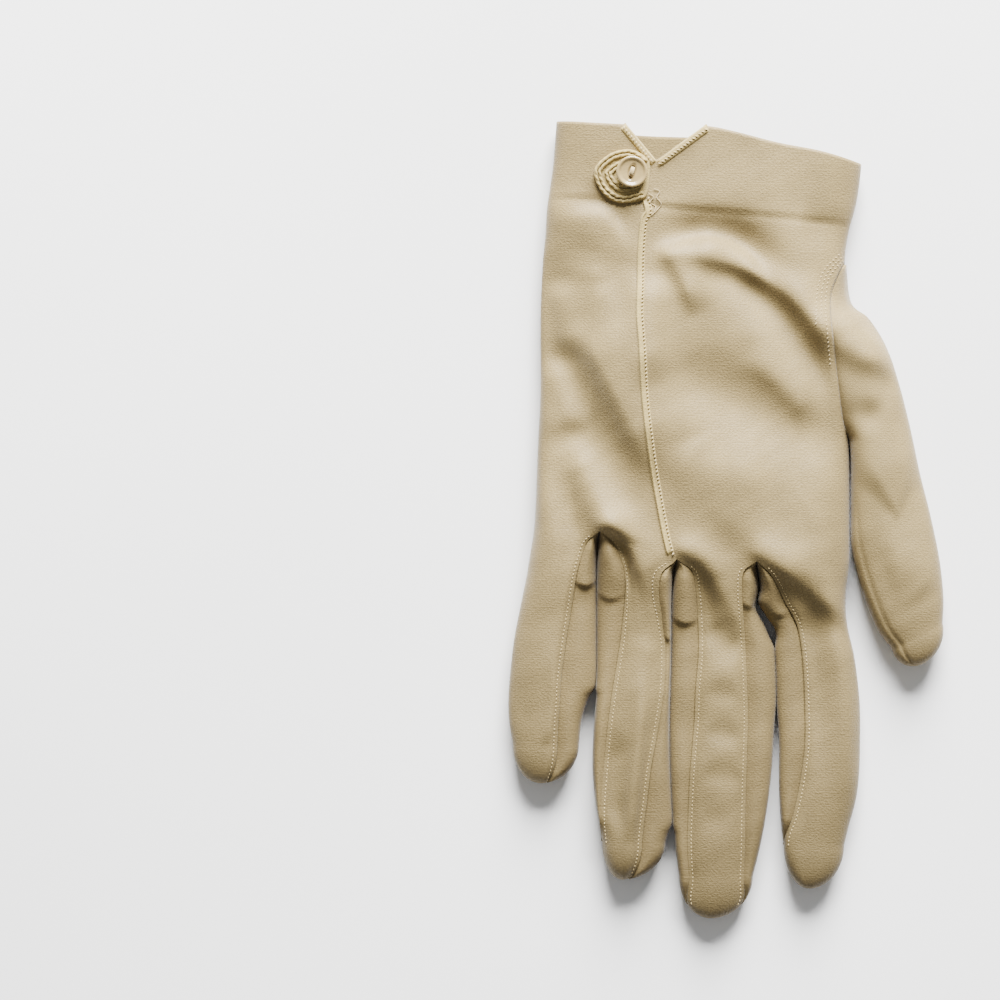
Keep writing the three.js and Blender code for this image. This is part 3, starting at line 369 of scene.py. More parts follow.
# Folds: three points on a curve, the width of its slope on the left and right, and its height
FOLDS = table("x0 y0 x1 y1 x2 y2 left right height", [
    (-26.7, 77.5, 21.6, 60.9, 35.4, 7.6, 5.6, 3.4, 3.9),
    (-6.7, 78.1, 11.8, 63.3, 38, 26.8, 8.8, 6.4, -3.6),
    (-25.8, 73.6, 0.4, 82, 18.3, 58, 5.3, 3, -2.8),
    (-20.5, 80.5, -13.5, 71, -9, 57.5, 5, 2.8, 2),
    (3.9, 47.9, 15.5, 38.5, 24.9, 27.2, 4.1, 3.7, 1),
    (-23.2, 46.9, 6, 32.2, 47.3, 17.2, 10.1, 9.4, -3),
    (-44.2, 58, -31.9, 36.6, -19.1, 9.3, 15, 5, 4.2),
    (-48.8, 88.6, -48.6, 41.9, -38.3, -22.7, 15, 8.2, -6.8),
    (-59.8, 32.3, -50.8, 26.6, -43.6, 16.3, 4.4, 6.5, 0.9),
    (-46.8, 26, -38.9, 7, -29.1, -11, 6, 6.1, 4.2),
    (-49.8, 69.7, -47, 58.3, -46.4, 45.3, 4.8, 3.1, 2.2),
    (-47.3, 86.8, -34.9, 90.4, -27.8, 77.6, 4.2, 2.1, -1.5),
    (20.1, 84.5, 28.7, 84.1, 37.4, 83.4, 4.5, 9, -1.4),
    (-38.6, -4.7, -29.4, -9.3, -25.7, -23.7, 2.8, 2.9, -1.6),
    (-41, 0.5, -25.4, -8.4, -18.6, -36, 6.4, 2.9, 1.6),
    (-12.1, -8.5, -5.9, -20.1, -4.5, -39.1, 2.4, 4.3, -1.4),
    (-18, -5, -2, -18.6, 8.5, -42, 6.8, 3.2, 1.75),
    (14, -16, 24, -26.5, 38, -36.5, 4, 6, -1),
    (2, -5, 23, -18.6, 44, -34, 8, 3.8, 2.1),
    (-22.7, -40.1, -26.2, -71.8, -28.8, -100.7, 1.9, 1.9, 1.8),
    (31.7, 49.2, 39.2, 53.5, 45.8, 52.9, 2.3, 2.6, -1),
    (42.4, 50.7, 42.3, 40.2, 41.7, 29.6, 3, 3, 1.4),
    (-54.9, 91, -42.3, 97.2, -29.2, 92.3, 11.3, 5.4, -1.5),
    (-51.2, 47.6, -47.8, 35.3, -42.4, 22.6, 3.7, 6.8, 2.6),
    (-20.9, 71.7, -23, 55.9, -19.8, 36.9, 4.9, 7.5, 2.2),
    (-15.5, 22.9, -4.4, 13.6, 20.4, 16.3, 7.5, 7.7, 1.6),
    (-16.3, 20.4, 14.9, -7, 38.3, 4.4, 13, 7.3, 1.7),
    (-37.7, 77.9, -39.5, 65.7, -28.8, 61.3, 5.6, 9.6, 1.8),
    (-60.4, -10.4, -60.6, -59.6, -52.4, -82.6, 7, 3.6, -1.6),
    (-49.5, -38.9, -49.9, -55, -54.1, -66.4, 1.9, 1.9, 0.7),
    (-22.8, -32.8, -23.8, -42.7, -28.6, -56.4, 2.1, 3.4, 0.6),
    (-29.5, -60, -31.8, -76, -30.8, -92, 2.4, 3.6, -1.2),
    (-4.9, -28.1, -0.5, -35, 4.7, -37.7, 3.3, 5.3, -1),
    (20.9, -25.2, 25.6, -43.9, 24.3, -76.6, 4.7, 1.9, -1.8),
    (27, -17.6, 34.1, -48.9, 33.3, -87.6, 2.6, 2.6, 1),
    (24.8, 62.6, 36.1, 50.6, 52.9, 48.8, 15, 5, 3.9),
    (37.6, 24, 42.4, 34.5, 47.5, 45, 5, 4.2, -1.5),
    (38, 9, 47, 14.5, 57, 12, 8, 14, 1.4),
    (44, -14, 54, -14, 62, -21, 8, 8, 1.2),
    (-6, -48, -1, -50.4, 3.6, -49.6, 3.6, 2.8, -0.5),
    (-5.6, -59.4, -1.2, -61.8, 4, -61, 3.8, 2.8, -0.55),
    (-7, -72, -1, -74, 4.6, -72.8, 4, 3, -0.55),
    (-8, -86, -3, -86.4, 2, -88, 4, 4, -0.35),
    (-40, -1.4, -32.6, -2.8, -25, -10, 3.6, 2.2, 0.8),
    (-18, -8.6, -9.8, -10, -3, -19, 3.6, 2.2, 0.8),
    (5, -9.6, 12.6, -11, 21, -19, 4, 2.4, 0.8),
    (32, 50, 39.5, 52.5, 47, 54.5, 4, 5.5, 1),
])

# Raised seam down the palm, from under the tab to the middle slot
CENTRE_SEAM = table("x y", [
    (-23.4, 92.5),
    (-22.6, 88.4),
    (-23.9, 85.6),
    (-24.7, 76.8),
    (-24.9, 67.8),
    (-25.2, 59.2),
    (-24.6, 50.2),
    (-23.5, 32.7),
    (-21.2, 15.1),
    (-18, -2.7),
    (-16.2, -10.6),
])

# Outline of the button's tab, and the button on it
TAB = table("x y", [
    (-22.6, 103.2),
    (-27.2, 106.1),
    (-32.4, 105.6),
    (-36.4, 103.0),
    (-38.2, 100.2),
    (-37.6, 96.8),
    (-35.6, 93.7),
    (-32.4, 91.4),
    (-28.6, 90.9),
    (-23.6, 92.2),
    (-22.3, 97.6),
])
BUTTON_SPOT = (-27.4, 99.7)

# Loose ends of thread below the tab: points along each
LOOSE_ENDS = (
    ((-21.2, 95.0), (-19.4, 94.2), (-20.2, 92.4), (-18.9, 90.6), (-20.4, 88.6), (-21.9, 87.2)),
    ((-22.6, 93.6), (-21.2, 92.6), (-22.0, 91.0), (-20.6, 89.9), (-20.9, 88.2)),
)


def lerp(a, b, f):
    """The value a share f of the way from a to b."""
    return a + (b - a) * f


def ease(f):
    """A soft step from 0 to 1: 3 f squared less 2 f cubed."""
    f = np.clip(f, 0, 1)
    return f * f * (3 - 2 * f)


def smooth(at, stations, values):
    """A curve through the values: cubic pieces whose slope at a station joins its two neighbours."""
    order = np.argsort(stations)
    x, v = stations[order], values[order]
    index = np.arange(len(x))
    before, after = np.maximum(index - 1, 0), np.minimum(index + 1, len(x) - 1)
    slope = (v[after] - v[before]) / (x[after] - x[before])
    at = np.clip(at, x[0], x[-1])
    i = np.clip(np.searchsorted(x, at, side="right") - 1, 0, len(x) - 2)
    span = x[i + 1] - x[i]
    f = (at - x[i]) / span
    start = slope[i] * span * f * (1 - f) ** 2
    end = slope[i + 1] * span * f * f * (1 - f)
    return v[i] + (v[i + 1] - v[i]) * f * f * (3 - 2 * f) + start - end


def unit(vectors):
    """The vectors of an array, each with a length of 1."""
    return vectors / np.linalg.norm(vectors, axis=-1, keepdims=True)


def walked_along(path):
    """Length of a path from its start to each of its points."""
    return np.concatenate([[0], np.cumsum(np.linalg.norm(np.diff(path, axis=0), axis=1))])


def read_at(at, walked, values):
    """The values of a path's points, read at some lengths along it."""
    return np.stack([np.interp(at, walked, values[:, axis]) for axis in range(values.shape[1])], -1)


def curve_through(points, count):
    """Points at even distances along the smooth curve through a table's points."""
    station = np.arange(len(points["x"]), dtype=float)
    fine = np.linspace(0, station[-1], 40 * len(station))
    path = np.stack([smooth(fine, station, points["x"]), smooth(fine, station, points["y"])], -1)
    return even_spacing(path, count)


def even_spacing(path, count):
    """The path's points moved to even distances along it: each coordinate read at equal steps of length."""
    walked = walked_along(path)
    return read_at(np.linspace(0, walked[-1], count), walked, path)


def fold_height(x, y):
    """Sum over the folds of height times exp(-(distance / width) squared), where the distance is taken
    from the fold's curve, the width is that of the side, and the height fades out at both ends."""
    x, y = np.broadcast_arrays(x, y)
    spots = np.stack([x.ravel(), y.ravel()], -1)
    total = np.zeros(len(spots))
    share = np.linspace(0, 1, FOLD_POINTS)[:, None]
    for x0, y0, x1, y1, x2, y2, left, right, height in zip(*FOLDS.values()):
        start, middle, end = np.array((x0, y0)), np.array((x1, y1)), np.array((x2, y2))
        bend = 2 * middle - (start + end) / 2
        curve = (1 - share) ** 2 * start + 2 * share * (1 - share) * bend + share ** 2 * end
        reach = FOLD_REACH * max(left, right)
        low, high = curve.min(0) - reach, curve.max(0) + reach
        near = np.flatnonzero(((spots > low) & (spots < high)).all(1))
        if len(near) == 0:
            continue
        step = np.diff(curve, axis=0)
        away = spots[near, None] - curve[None, :-1]
        along = np.clip((away * step).sum(-1) / (step ** 2).sum(-1), 0, 1)
        off = away - along[..., None] * step
        distance = np.linalg.norm(off, axis=-1)
        best = distance.argmin(1)
        pick = np.arange(len(near)), best
        side = step[best, 0] * away[pick][:, 1] - step[best, 1] * away[pick][:, 0]
        width = np.where(side > 0, left, right)
        at = (best + along[pick]) / len(step)
        fade = ease(at / FOLD_FADE) * ease((1 - at) / FOLD_FADE)
        total[near] += height * fade * np.exp(-(distance[pick] / width) ** 2)
    return total.reshape(x.shape)


def crumple(x, y):
    """Slight unevenness of worn cloth: a few crossing waves, some of them bent by another one."""
    waves = (CRUMPLE.bending, *CRUMPLE.slow_waves, *CRUMPLE.quick_waves)
    bending, first, second, fine, crossing = (by_x * x + by_y * y for by_x, by_y in waves)
    bend = CRUMPLE.bend * np.sin(bending)
    slow = np.sin(first + bend) + np.sin(second + CRUMPLE.shift)
    quick = np.sin(fine + bend) * np.sin(crossing)
    return CRUMPLE.slow * slow + CRUMPLE.quick * quick


def hem_relief(x, y):
    """Thickness added by the cuff's turned-in layer, with a furrow along the line that holds it: a soft
    step up at the line, less exp(-(distance / width) squared)."""
    above = y - smooth(x, HEM_LINE["x"], HEM_LINE["y"])
    step = ease(above / HEM_SOFTNESS + 0.5)
    return HEM_STEP * (step - np.exp(-(above / HEM_FURROW) ** 2))


def cloth_height(x, y):
    """Everything that lifts or lowers the cloth over its plain form: folds, crumpling and the hem."""
    return fold_height(x, y) + crumple(x, y) + hem_relief(x, y)


def notch_depth(x):
    """How far the notch cuts into the cuff's edge at x: down to the straight lines of its two sides."""
    full = np.interp(x, NOTCH["x"], NOTCH["y"], left=1e3, right=1e3)
    return np.maximum(smooth(x, CUFF_LINE["x"], CUFF_LINE["y"]) - full, 0)


def palm_section(y, is_back):
    """Measures of the palm's section at y."""
    left = smooth(y, PALM["y"], PALM["left"])
    right = smooth(y, PALM["y"], PALM["right"])
    near = ease((TURN.palm_end - y) / (TURN.palm_end - TURN.crotch_end))
    turn_left = TURN.back if is_back else lerp(TURN.palm_left, TURN.crotch_left, near)
    turn_right = TURN.back if is_back else lerp(TURN.palm_right, TURN.crotch_right, near)
    return SimpleNamespace(
        left=left, right=right, seam_left=left + turn_left, seam_right=right - turn_right,
        crown=smooth(y, PALM["y"], PALM["height"]), drop_left=0, drop_right=0, lap_left=0, lap_right=0,
        merge_left=0, merge_right=0, shrink=1, flatten=1, shift=0,
    )


def merge_towards(finger, end, y):
    """How far a seam has run out to the finger's edge, 1 where it has reached it: a soft step over the
    last stretch before its strip's end, which stays lower the nearer that end is to the tip."""
    if end is None:
        return 0 * y
    last = finger.cap - (finger.cap - finger.tip[1]) * math.sin(math.radians(end))
    fade = STRIP_FADE * math.cos(math.radians(end / 2))
    reached = (1 - STRIP_TAIL / STRIP_FADE) * min(1, 2 * math.cos(math.radians(end)))
    return ease((last - y) / fade + reached)


def finger_section(k, level, reach, angle):
    """Measures of a finger's section at a level, drawn in by the angle round its cap."""
    finger = FINGERS[k]
    row = {name: smooth(level, finger.rows["y"], finger.rows[name]) for name in FINGER_COLUMNS.split()}
    middle = (row["left"] + row["right"]) / 2
    sunk_left = ease((CROTCHES["y"][k] - level) / SEAM_REACH) * (finger.left_end is not None)
    sunk_right = ease((CROTCHES["y"][k + 1] - level) / SEAM_REACH) * (finger.right_end is not None)
    return SimpleNamespace(
        left=row["left"], right=row["right"], seam_left=row["seam_left"], seam_right=row["seam_right"],
        crown=row["height"],
        drop_left=SEAM_DROP * sunk_left, drop_right=SEAM_DROP * sunk_right,
        lap_left=sunk_left, lap_right=sunk_right,
        merge_left=merge_towards(finger, finger.left_end, reach),
        merge_right=merge_towards(finger, finger.right_end, reach),
        shrink=np.cos(angle), flatten=np.cos(angle) ** CAP_FLATNESS,
        shift=(finger.tip[0] - middle) * (1 - np.cos(angle)),
    )


def section_point(s, column, is_back, y, inset):
    """A point of a section. Column goes from -1 to 1 between the seams, and on to -2 or 2 round the
    edges, as a quarter of an ellipse. The height is a bow from crown to seam, plus the cloth's own
    height, less a furrow beside the seam where its stitches draw the cloth in."""
    is_left = column < 0
    edge = np.where(is_left, s.left, s.right)
    merge = np.where(is_left, s.merge_left, s.merge_right)
    seam = lerp(np.where(is_left, s.seam_left, s.seam_right), edge, merge)
    across = np.minimum(np.abs(column), 1)
    turn = np.maximum(np.abs(column) - 1, 0) * math.pi / 2
    start = lerp(s.seam_left, s.left, s.merge_left)
    end = lerp(s.seam_right, s.right, s.merge_right)
    x = np.where(turn > 0, seam + (edge - seam) * np.sin(turn), lerp(start, end, (column + 1) / 2))
    bow = lerp(across ** 2, 1 - np.sqrt(1 - across ** 2), merge)
    depth = EDGE_HEIGHT if is_back else s.crown - EDGE_HEIGHT + cloth_height(x, y)
    crest, drop = depth, 0
    if not is_back:
        from_stitches = (1 - across) * (end - start) / 2 - SEAM_STITCH_INSET
        lap = np.where(is_left, s.lap_left, s.lap_right) * (1 - merge)
        crest = depth - LAP_FURROW * lap * np.exp(-(from_stitches / LAP_WIDTH) ** 2)
        drop = np.where(is_left, s.drop_left, s.drop_right)
    fall = lerp(drop, crest, merge) * bow
    rise = (crest - fall) * np.cos(turn) * (-1 if is_back else 1)
    middle, half = (s.left + s.right) / 2, (s.right - s.left) / 2
    drawn_in = (x - middle) * (1 - inset / half)
    z = EDGE_HEIGHT + rise * (1 - inset / depth) * s.flatten
    return np.stack(np.broadcast_arrays(middle + drawn_in * s.shrink + s.shift, y, z), -1)


def crotch_level(k, column):
    """Level of the row of slot feet at a column of a finger."""
    return lerp(CROTCHES["y"][k], CROTCHES["y"][k + 1], (np.clip(column, -1, 1) + 1) / 2)


def finger_point(k, share, angle, column, is_back, inset=0.0):
    """A point on a finger: share runs from the crotch to the cap, and angle on over the cap."""
    finger = FINGERS[k]
    level = lerp(crotch_level(k, column), finger.cap, share)
    cap_length = finger.cap - finger.tip[1]
    reach = level - cap_length * np.sin(angle)
    section = finger_section(k, level, reach, angle)
    point = section_point(section, column, is_back, level, inset)
    point[..., 1] = reach + inset * np.sin(angle)
    return point


def foot_share(k, is_back):
    """How far across the palm the foot of a slot lies, between the two turned edges."""
    if k in (0, 4):
        return k / 4
    section = palm_section(CROTCHES["y"][k], is_back)
    return (CROTCHES["x"][k] - section.seam_left) / (section.seam_right - section.seam_left)


def hole_x(y, is_back):
    """Edge of the palm or the back along the thumb's hole."""
    if not is_back:
        return smooth(y, THUMB_SEAM["y"], THUMB_SEAM["x"])
    ends = ease((HOLE.top - y) / HOLE.corner) * ease((y - HOLE.bottom) / HOLE.corner)
    return smooth(y, PALM["y"], PALM["right"]) - HOLE.back_inset * ends


def last_column(y, is_back):
    """The column at which the palm stops: 2 at the folded edge, less where the thumb is set in."""
    section = palm_section(y, is_back)
    out = (hole_x(y, is_back) - section.seam_right) / (section.right - section.seam_right)
    column = 1 + np.arcsin(np.clip(out, 0, 1)) * 2 / math.pi
    return np.where((y >= HOLE.top) | (y <= HOLE.bottom), 2, column)


def palm_point(k, column, share, is_back, inset=0.0):
    """A point on the palm or the back of the hand: share runs from the cuff's edge to the slot feet.
    Below the hem the rows are spread evenly, and above it they bend to the cuff's own edge."""
    in_finger = (np.clip(column, -1, 1) + 1) / 2
    across = lerp(foot_share(k, is_back), foot_share(k + 1, is_back), in_finger)
    outside = (np.abs(column) > 1) * np.sign(column)
    row_x = lerp(*CUFF_CORNERS, np.where(outside == 0, across, (outside + 1) / 2))
    row_top = smooth(row_x, CUFF_LINE["x"], CUFF_LINE["y"])
    place = np.where(outside == 0, 2 * across - 1, column)
    edge_x = section_point(palm_section(row_top, is_back), place, is_back, row_top, 0.0)[..., 0]
    cut = BACK_CUFF_DROP * (1 - np.abs(2 * across - 1) ** 3) if is_back else notch_depth(edge_x)
    bend = smooth(edge_x, CUFF_LINE["x"], CUFF_LINE["y"]) - cut - row_top
    y = lerp(row_top, crotch_level(k, column), share) + bend * (1 - ease(share / HEM_DEPTH))
    section = palm_section(y, is_back)
    limit = 1 + (column - 1) * (last_column(y, is_back) - 1)
    place = np.where(column > 1, limit, place)
    return section_point(section, place, is_back, y, inset)


def panel_point(k, share, angle, column, is_back):
    """A point on a finger's panel, which starts on the palm's last row and leaves it smoothly."""
    point = finger_point(k, share, angle, column, is_back)
    start = finger_point(k, 0.0, 0.0, column, is_back)
    foot = palm_point(k, column, 1.0, is_back)
    carry = 1 - ease(share / PALM_CARRY)
    return point + (foot - start) * np.broadcast_to(carry, point.shape[:-1])[..., None]


def palm_height(x, y):
    """Height of the palm side over a place: its crown and folds, rounded off at the turned edges."""
    s = palm_section(y, False)
    left = np.clip((s.seam_left - x) / (s.seam_left - s.left), 0, 1)
    right = np.clip((x - s.seam_right) / (s.right - s.seam_right), 0, 1)
    rounded = np.sqrt(1 - np.maximum(left, right) ** 2)
    return EDGE_HEIGHT + (s.crown - EDGE_HEIGHT + cloth_height(x, y)) * rounded


def thumb_point(share, angle, turn, is_back):
    """A point on the thumb: share runs from its hole to the cap, and turn from its inner edge over the
    front to its outer edge. Near the hole it takes the hole's outline and the cloth's own height."""
    row = {name: smooth(share, THUMB["share"], THUMB[name]) for name in THUMB}
    outer = np.stack([row["outer_x"], row["outer_y"]], -1)
    inner = np.stack([row["inner_x"], row["inner_y"]], -1)
    middle, half = (outer + inner) / 2, (outer - inner) / 2
    place = -np.cos(turn)
    depth = EDGE_HEIGHT if is_back else row["height"] - EDGE_HEIGHT
    swell = np.sin(turn) ** THUMB_FULLNESS
    spot = middle + half * (place * np.cos(angle))[..., None]
    spot = spot + (THUMB_TIP - middle) * np.sin(angle)[..., None]
    uneven = cloth_height(spot[..., 0], spot[..., 1])
    from_seam = (place + 1) * np.linalg.norm(half, axis=-1) - THUMB_SEAM_INSET
    in_sight = ease((share - THUMB_SEAM_START) / THUMB_SEAM_FADE)
    furrow = LAP_FURROW * np.exp(-(from_seam / LAP_WIDTH) ** 2) * in_sight
    lift = -depth if is_back else depth + uneven - 2 * furrow
    z = EDGE_HEIGHT + lift * swell * np.cos(angle) ** CAP_FLATNESS
    seated = (1 - ease(share / THUMB_BLEND)) * (1 - (1 - np.sin(turn)) ** 6)
    y = lerp(inner[..., 1], outer[..., 1], (place + 1) / 2)
    base_y = np.clip(y, HOLE.bottom, HOLE.top)
    base_x = hole_x(base_y, is_back) - HOLE.lap
    cloth = palm_section(base_y, is_back)
    out = (base_x - cloth.seam_right) / (cloth.right - cloth.seam_right)
    column = 1 + np.arcsin(np.clip(out, 0, 1)) * 2 / math.pi
    seat = section_point(cloth, column, is_back, base_y, 0.0)
    seat[..., 1] = y
    seat[..., 2] += THUMB_TUCK * (1 if is_back else -1)
    loose = np.stack(np.broadcast_arrays(spot[..., 0], spot[..., 1], z), -1)
    return lerp(loose, seat, seated[..., None])


def even_columns(k, inner):
    """Columns of a finger's panel, closer together towards its seams, and round the folded edge of an
    outer finger."""
    core = np.sin(np.linspace(-1, 1, inner) * math.pi / 2)
    round_edge = 1 + np.linspace(0, 1, EDGE_COLUMNS)[1:]
    if k == 0:
        core = np.concatenate([-round_edge[::-1], core])
    if k == 3:
        core = np.concatenate([core, round_edge])
    return core


def palm_grid(is_back, shares, inner, inset=0.0):
    """Points of the palm or the back, finger by finger across, wound so that it faces out."""
    strips = []
    for k in range(len(FINGERS)):
        columns = even_columns(k, inner)[None]
        strips.append(palm_point(k, columns, shares[:, None], is_back, inset)[:, int(k > 0):])
    grid = np.concatenate(strips, axis=1)
    return grid[:, ::-1] if is_back else grid


def finger_steps(count, end=90.0, cap_count=14):
    """Shares and cap angles down a finger: even along it, then round the cap as far as the end angle."""
    shares = np.concatenate([np.linspace(0, 1, count), np.ones(cap_count)])
    angles = np.concatenate([np.zeros(count), np.radians(np.linspace(0, end, cap_count + 1)[1:])])
    return shares[:, None], angles[:, None]


def trank_patches():
    """The palm, the back and both panels of each finger, which meet along their edges."""
    shares = np.linspace(0, 1, PALM_ROWS)
    patches = []
    for is_back in (False, True):
        inner = BACK_COLUMNS if is_back else FRONT_COLUMNS
        patches.append(palm_grid(is_back, shares, inner))
        for k in range(len(FINGERS)):
            share, angle = finger_steps(PANEL_ROWS)
            columns = even_columns(k, inner)[None]
            panel = panel_point(k, share, angle, columns, is_back)
            patches.append(panel[:, ::-1] if is_back else panel)
    return patches


def strip_puff(k, sign, y, turned):
    """Height of a side strip's puff: it swells from the crotch down, ends in a rounded step into a dip,
    and comes slowly out of that. Across the strip all of it follows a half wave."""
    out = np.sin(turned * math.pi / 2)
    below = CROTCHES["y"][k + (sign > 0)] - y
    height = STRIP_BULGE * ease(below / PUFF_START)
    for finger, side, end, rise, dip in zip(*STRIP_PUFFS.values()):
        if (finger, side) == (k, sign):
            past = end + PUFF_BOW * (2 * out - 1) ** 2 - y
            height = height + rise * ease(below / PUFF_START) - (rise + dip) * ease(past / PUFF_STEP)
            height = height + dip * ease((past - PUFF_STEP) / PUFF_TAIL)
    return height * np.sin(math.pi * out ** PUFF_LEAN) ** PUFF_FULLNESS


def strip_reach(k, sign, level):
    """How far a side strip stands out past its finger's edge to touch the next finger's, where the gap
    between the two is small."""
    one, other = FINGERS[k - (sign < 0)].rows, FINGERS[k + (sign > 0)].rows
    gap = smooth(level, other["y"], other["left"]) - smooth(level, one["y"], one["right"])
    return sign * (gap / 2 + TOUCH_PRESS) * (1 - ease((gap - TOUCH_GAP) / TOUCH_FADE))


def strip_side(k, sign, end):
    """One side of a fourchette: from under the panel's seam, round the finger's edge, to the back's seam.
    Its section is fuller than a quarter of an ellipse, and puffed up near the crotch."""
    share, angle = finger_steps(STRIP_ROWS, end, max(2, int(end / 5)))
    front = np.concatenate([[0.9, 0.95], np.linspace(1, 2, 19)])
    back = np.concatenate([np.linspace(2, 1, 9)[1:], [0.95]])
    level = lerp(crotch_level(k, sign), FINGERS[k].cap, share)
    reach = level - (FINGERS[k].cap - FINGERS[k].tip[1]) * np.sin(angle)
    still_open = 1 - merge_towards(FINGERS[k], end, reach)
    fullness = RIGHT_FULLNESS if sign > 0 else LEFT_FULLNESS
    parts = []
    for columns, is_back in ((front, False), (back, True)):
        turned = np.clip(columns - 1, 0, 1)[None]
        tuck = STRIP_TUCK * (1 - ease(turned / TUCK_SHARE)) * still_open
        point = finger_point(k, share, angle, sign * columns[None], is_back, tuck)
        point[..., 0] += strip_reach(k, sign, level) * np.sin(turned * math.pi / 2)
        steep = np.maximum(np.cos(turned * math.pi / 2), 1e-6)
        fuller = steep ** (still_open * (fullness - 1))
        point[..., 2] = EDGE_HEIGHT + (point[..., 2] - EDGE_HEIGHT) * fuller
        if not is_back:
            point[..., 2] += strip_puff(k, sign, reach, turned) * still_open
        parts.append(point)
    grid = np.concatenate(parts, axis=1)
    return grid if sign > 0 else grid[:, ::-1]


def thumb_patches():
    """Front and back of the thumb, from its hole to its tip."""
    shares, angles = finger_steps(PANEL_ROWS, cap_count=16)
    turns = np.linspace(0, math.pi, 45)[None]
    front = thumb_point(shares, angles, turns, False)
    back = thumb_point(shares, angles, turns, True)
    return [front, back[:, ::-1]]


def beside(path, distance):
    """A path on the page moved sideways, to the left of its own direction, by a distance."""
    along = unit(np.gradient(path, axis=0))
    return path + distance * np.stack([-along[:, 1], along[:, 0]], -1)


def on_cloth(spots, lift):
    """Places on the page laid on the palm's cloth, lifted above it."""
    z = palm_height(spots[..., 0], spots[..., 1]) + lift
    return np.concatenate([spots, z[..., None]], -1)


def band_on_palm(path, width, height, profile):
    """A band along a path on the palm: at each step across, the cloth's height plus the profile, which
    sinks into the cloth at both ends."""
    across = np.linspace(-1, 1, BAND.columns)
    spots = np.stack([beside(path, place * width / 2) for place in across], 1)
    step = np.arange(len(path))
    fade = ease(np.minimum(step, step[::-1]) / BAND.fade)[:, None]
    rise = height * profile(across)[None] * fade - BAND.end_sink * (1 - fade) - BAND.sink
    return on_cloth(spots, rise)


def welt(across):
    """Height of the palm's seam across it: a flat fold of cloth with a round ridge along its left edge,
    less the furrow that the stitches draw in near its right edge."""
    body = WELT.body * np.clip(1 - np.abs(across) ** 6, 0, 1)
    ridge = WELT.ridge * np.exp(-((across - WELT.ridge_place) / WELT.ridge_width) ** 2)
    furrow = WELT.furrow * np.exp(-((across - WELT.stitches) / WELT.furrow_width) ** 2)
    return body + ridge - furrow


def flat_band(across):
    """Height of a binding across it: flat, with rounded edges."""
    return np.clip(1 - np.abs(across) ** 5, 0, 1)


def rolled_band(across):
    """Height of a binding across it: flat and rounded off on its inner edge, and turned down over the
    cut edge of the cloth on its outer one."""
    return flat_band(across) - BINDING_DROP * ease((across - BINDING_TURN) / (1 - BINDING_TURN))


def strand_path(offset, top, bottom):
    """One strand from hole to hole of the button: up out of one, over the bridge and down the other."""
    turn = np.linspace(0, math.pi, 25)
    along = -STRAND_REACH * np.cos(turn)
    rise = lerp(bottom, top, np.sin(turn) ** 0.5)
    x = BUTTON_SPOT[0] + along * math.cos(BUTTON_ANGLE) - offset * math.sin(BUTTON_ANGLE)
    y = BUTTON_SPOT[1] + along * math.sin(BUTTON_ANGLE) + offset * math.cos(BUTTON_ANGLE)
    return np.stack([x, y, rise], -1)


def loose_end(points):
    """A loose end of thread: a thin tube on a smooth path through the points, just above the cloth."""
    path = curve_through(table("x y", points), 40)
    return tube(on_cloth(path, LOOSE_LIFT), LOOSE_RADIUS, sides=6)


def notch_path(corner, offset, start, end, count):
    """A line beside one side of the notch, set back from the cut by the offset."""
    top = np.array((NOTCH["x"][corner], NOTCH["y"][corner]))
    foot = np.array((NOTCH["x"][1], NOTCH["y"][1]))
    along = (foot - top) / np.linalg.norm(foot - top)
    away = np.array((along[1], -along[0])) * (1 if corner == 0 else -1)
    share = np.linspace(start, end, count)[:, None]
    return top + (foot - top) * share + away * offset


def tab_grid(plate):
    """The tab, from its outline to its middle: flat, with a rounded rim that goes down into the cloth."""
    closed = {name: np.concatenate([TAB[name][-3:], TAB[name], TAB[name][:3]]) for name in TAB}
    station = np.arange(len(closed["x"]), dtype=float) - 3
    at = np.linspace(0, len(TAB["x"]), 121)
    outline = np.stack([smooth(at, station, closed["x"]), smooth(at, station, closed["y"])], -1)
    middle = np.array(BUTTON_SPOT) + TAB_MIDDLE
    turn = np.linspace(0, math.pi / 2, 7)
    inner = np.linspace(1 - TAB_RIM, 0, 12)[1:]
    share = np.concatenate([[1.0], 1 - TAB_RIM * (1 - np.cos(turn)), inner])[:, None]
    lift = np.concatenate([[-0.3], plate * np.sin(turn), np.full(len(inner), plate)])[:, None]
    return on_cloth(middle + (outline[None] - middle) * share[..., None], lift)


def tab_cord(offset, radius, plate):
    """A cord on the tab: a twisted tube that follows the outline round the left end, set in from it."""
    outline = curve_through({name: TAB[name][:-1] for name in TAB}, 260)
    path = even_spacing(beside(outline, offset), 260)
    line = on_cloth(path, plate + 0.3 * radius)
    return tube(line, radius, sides=14, twist=CORD_TWIST, pitch=CORD_PITCH)


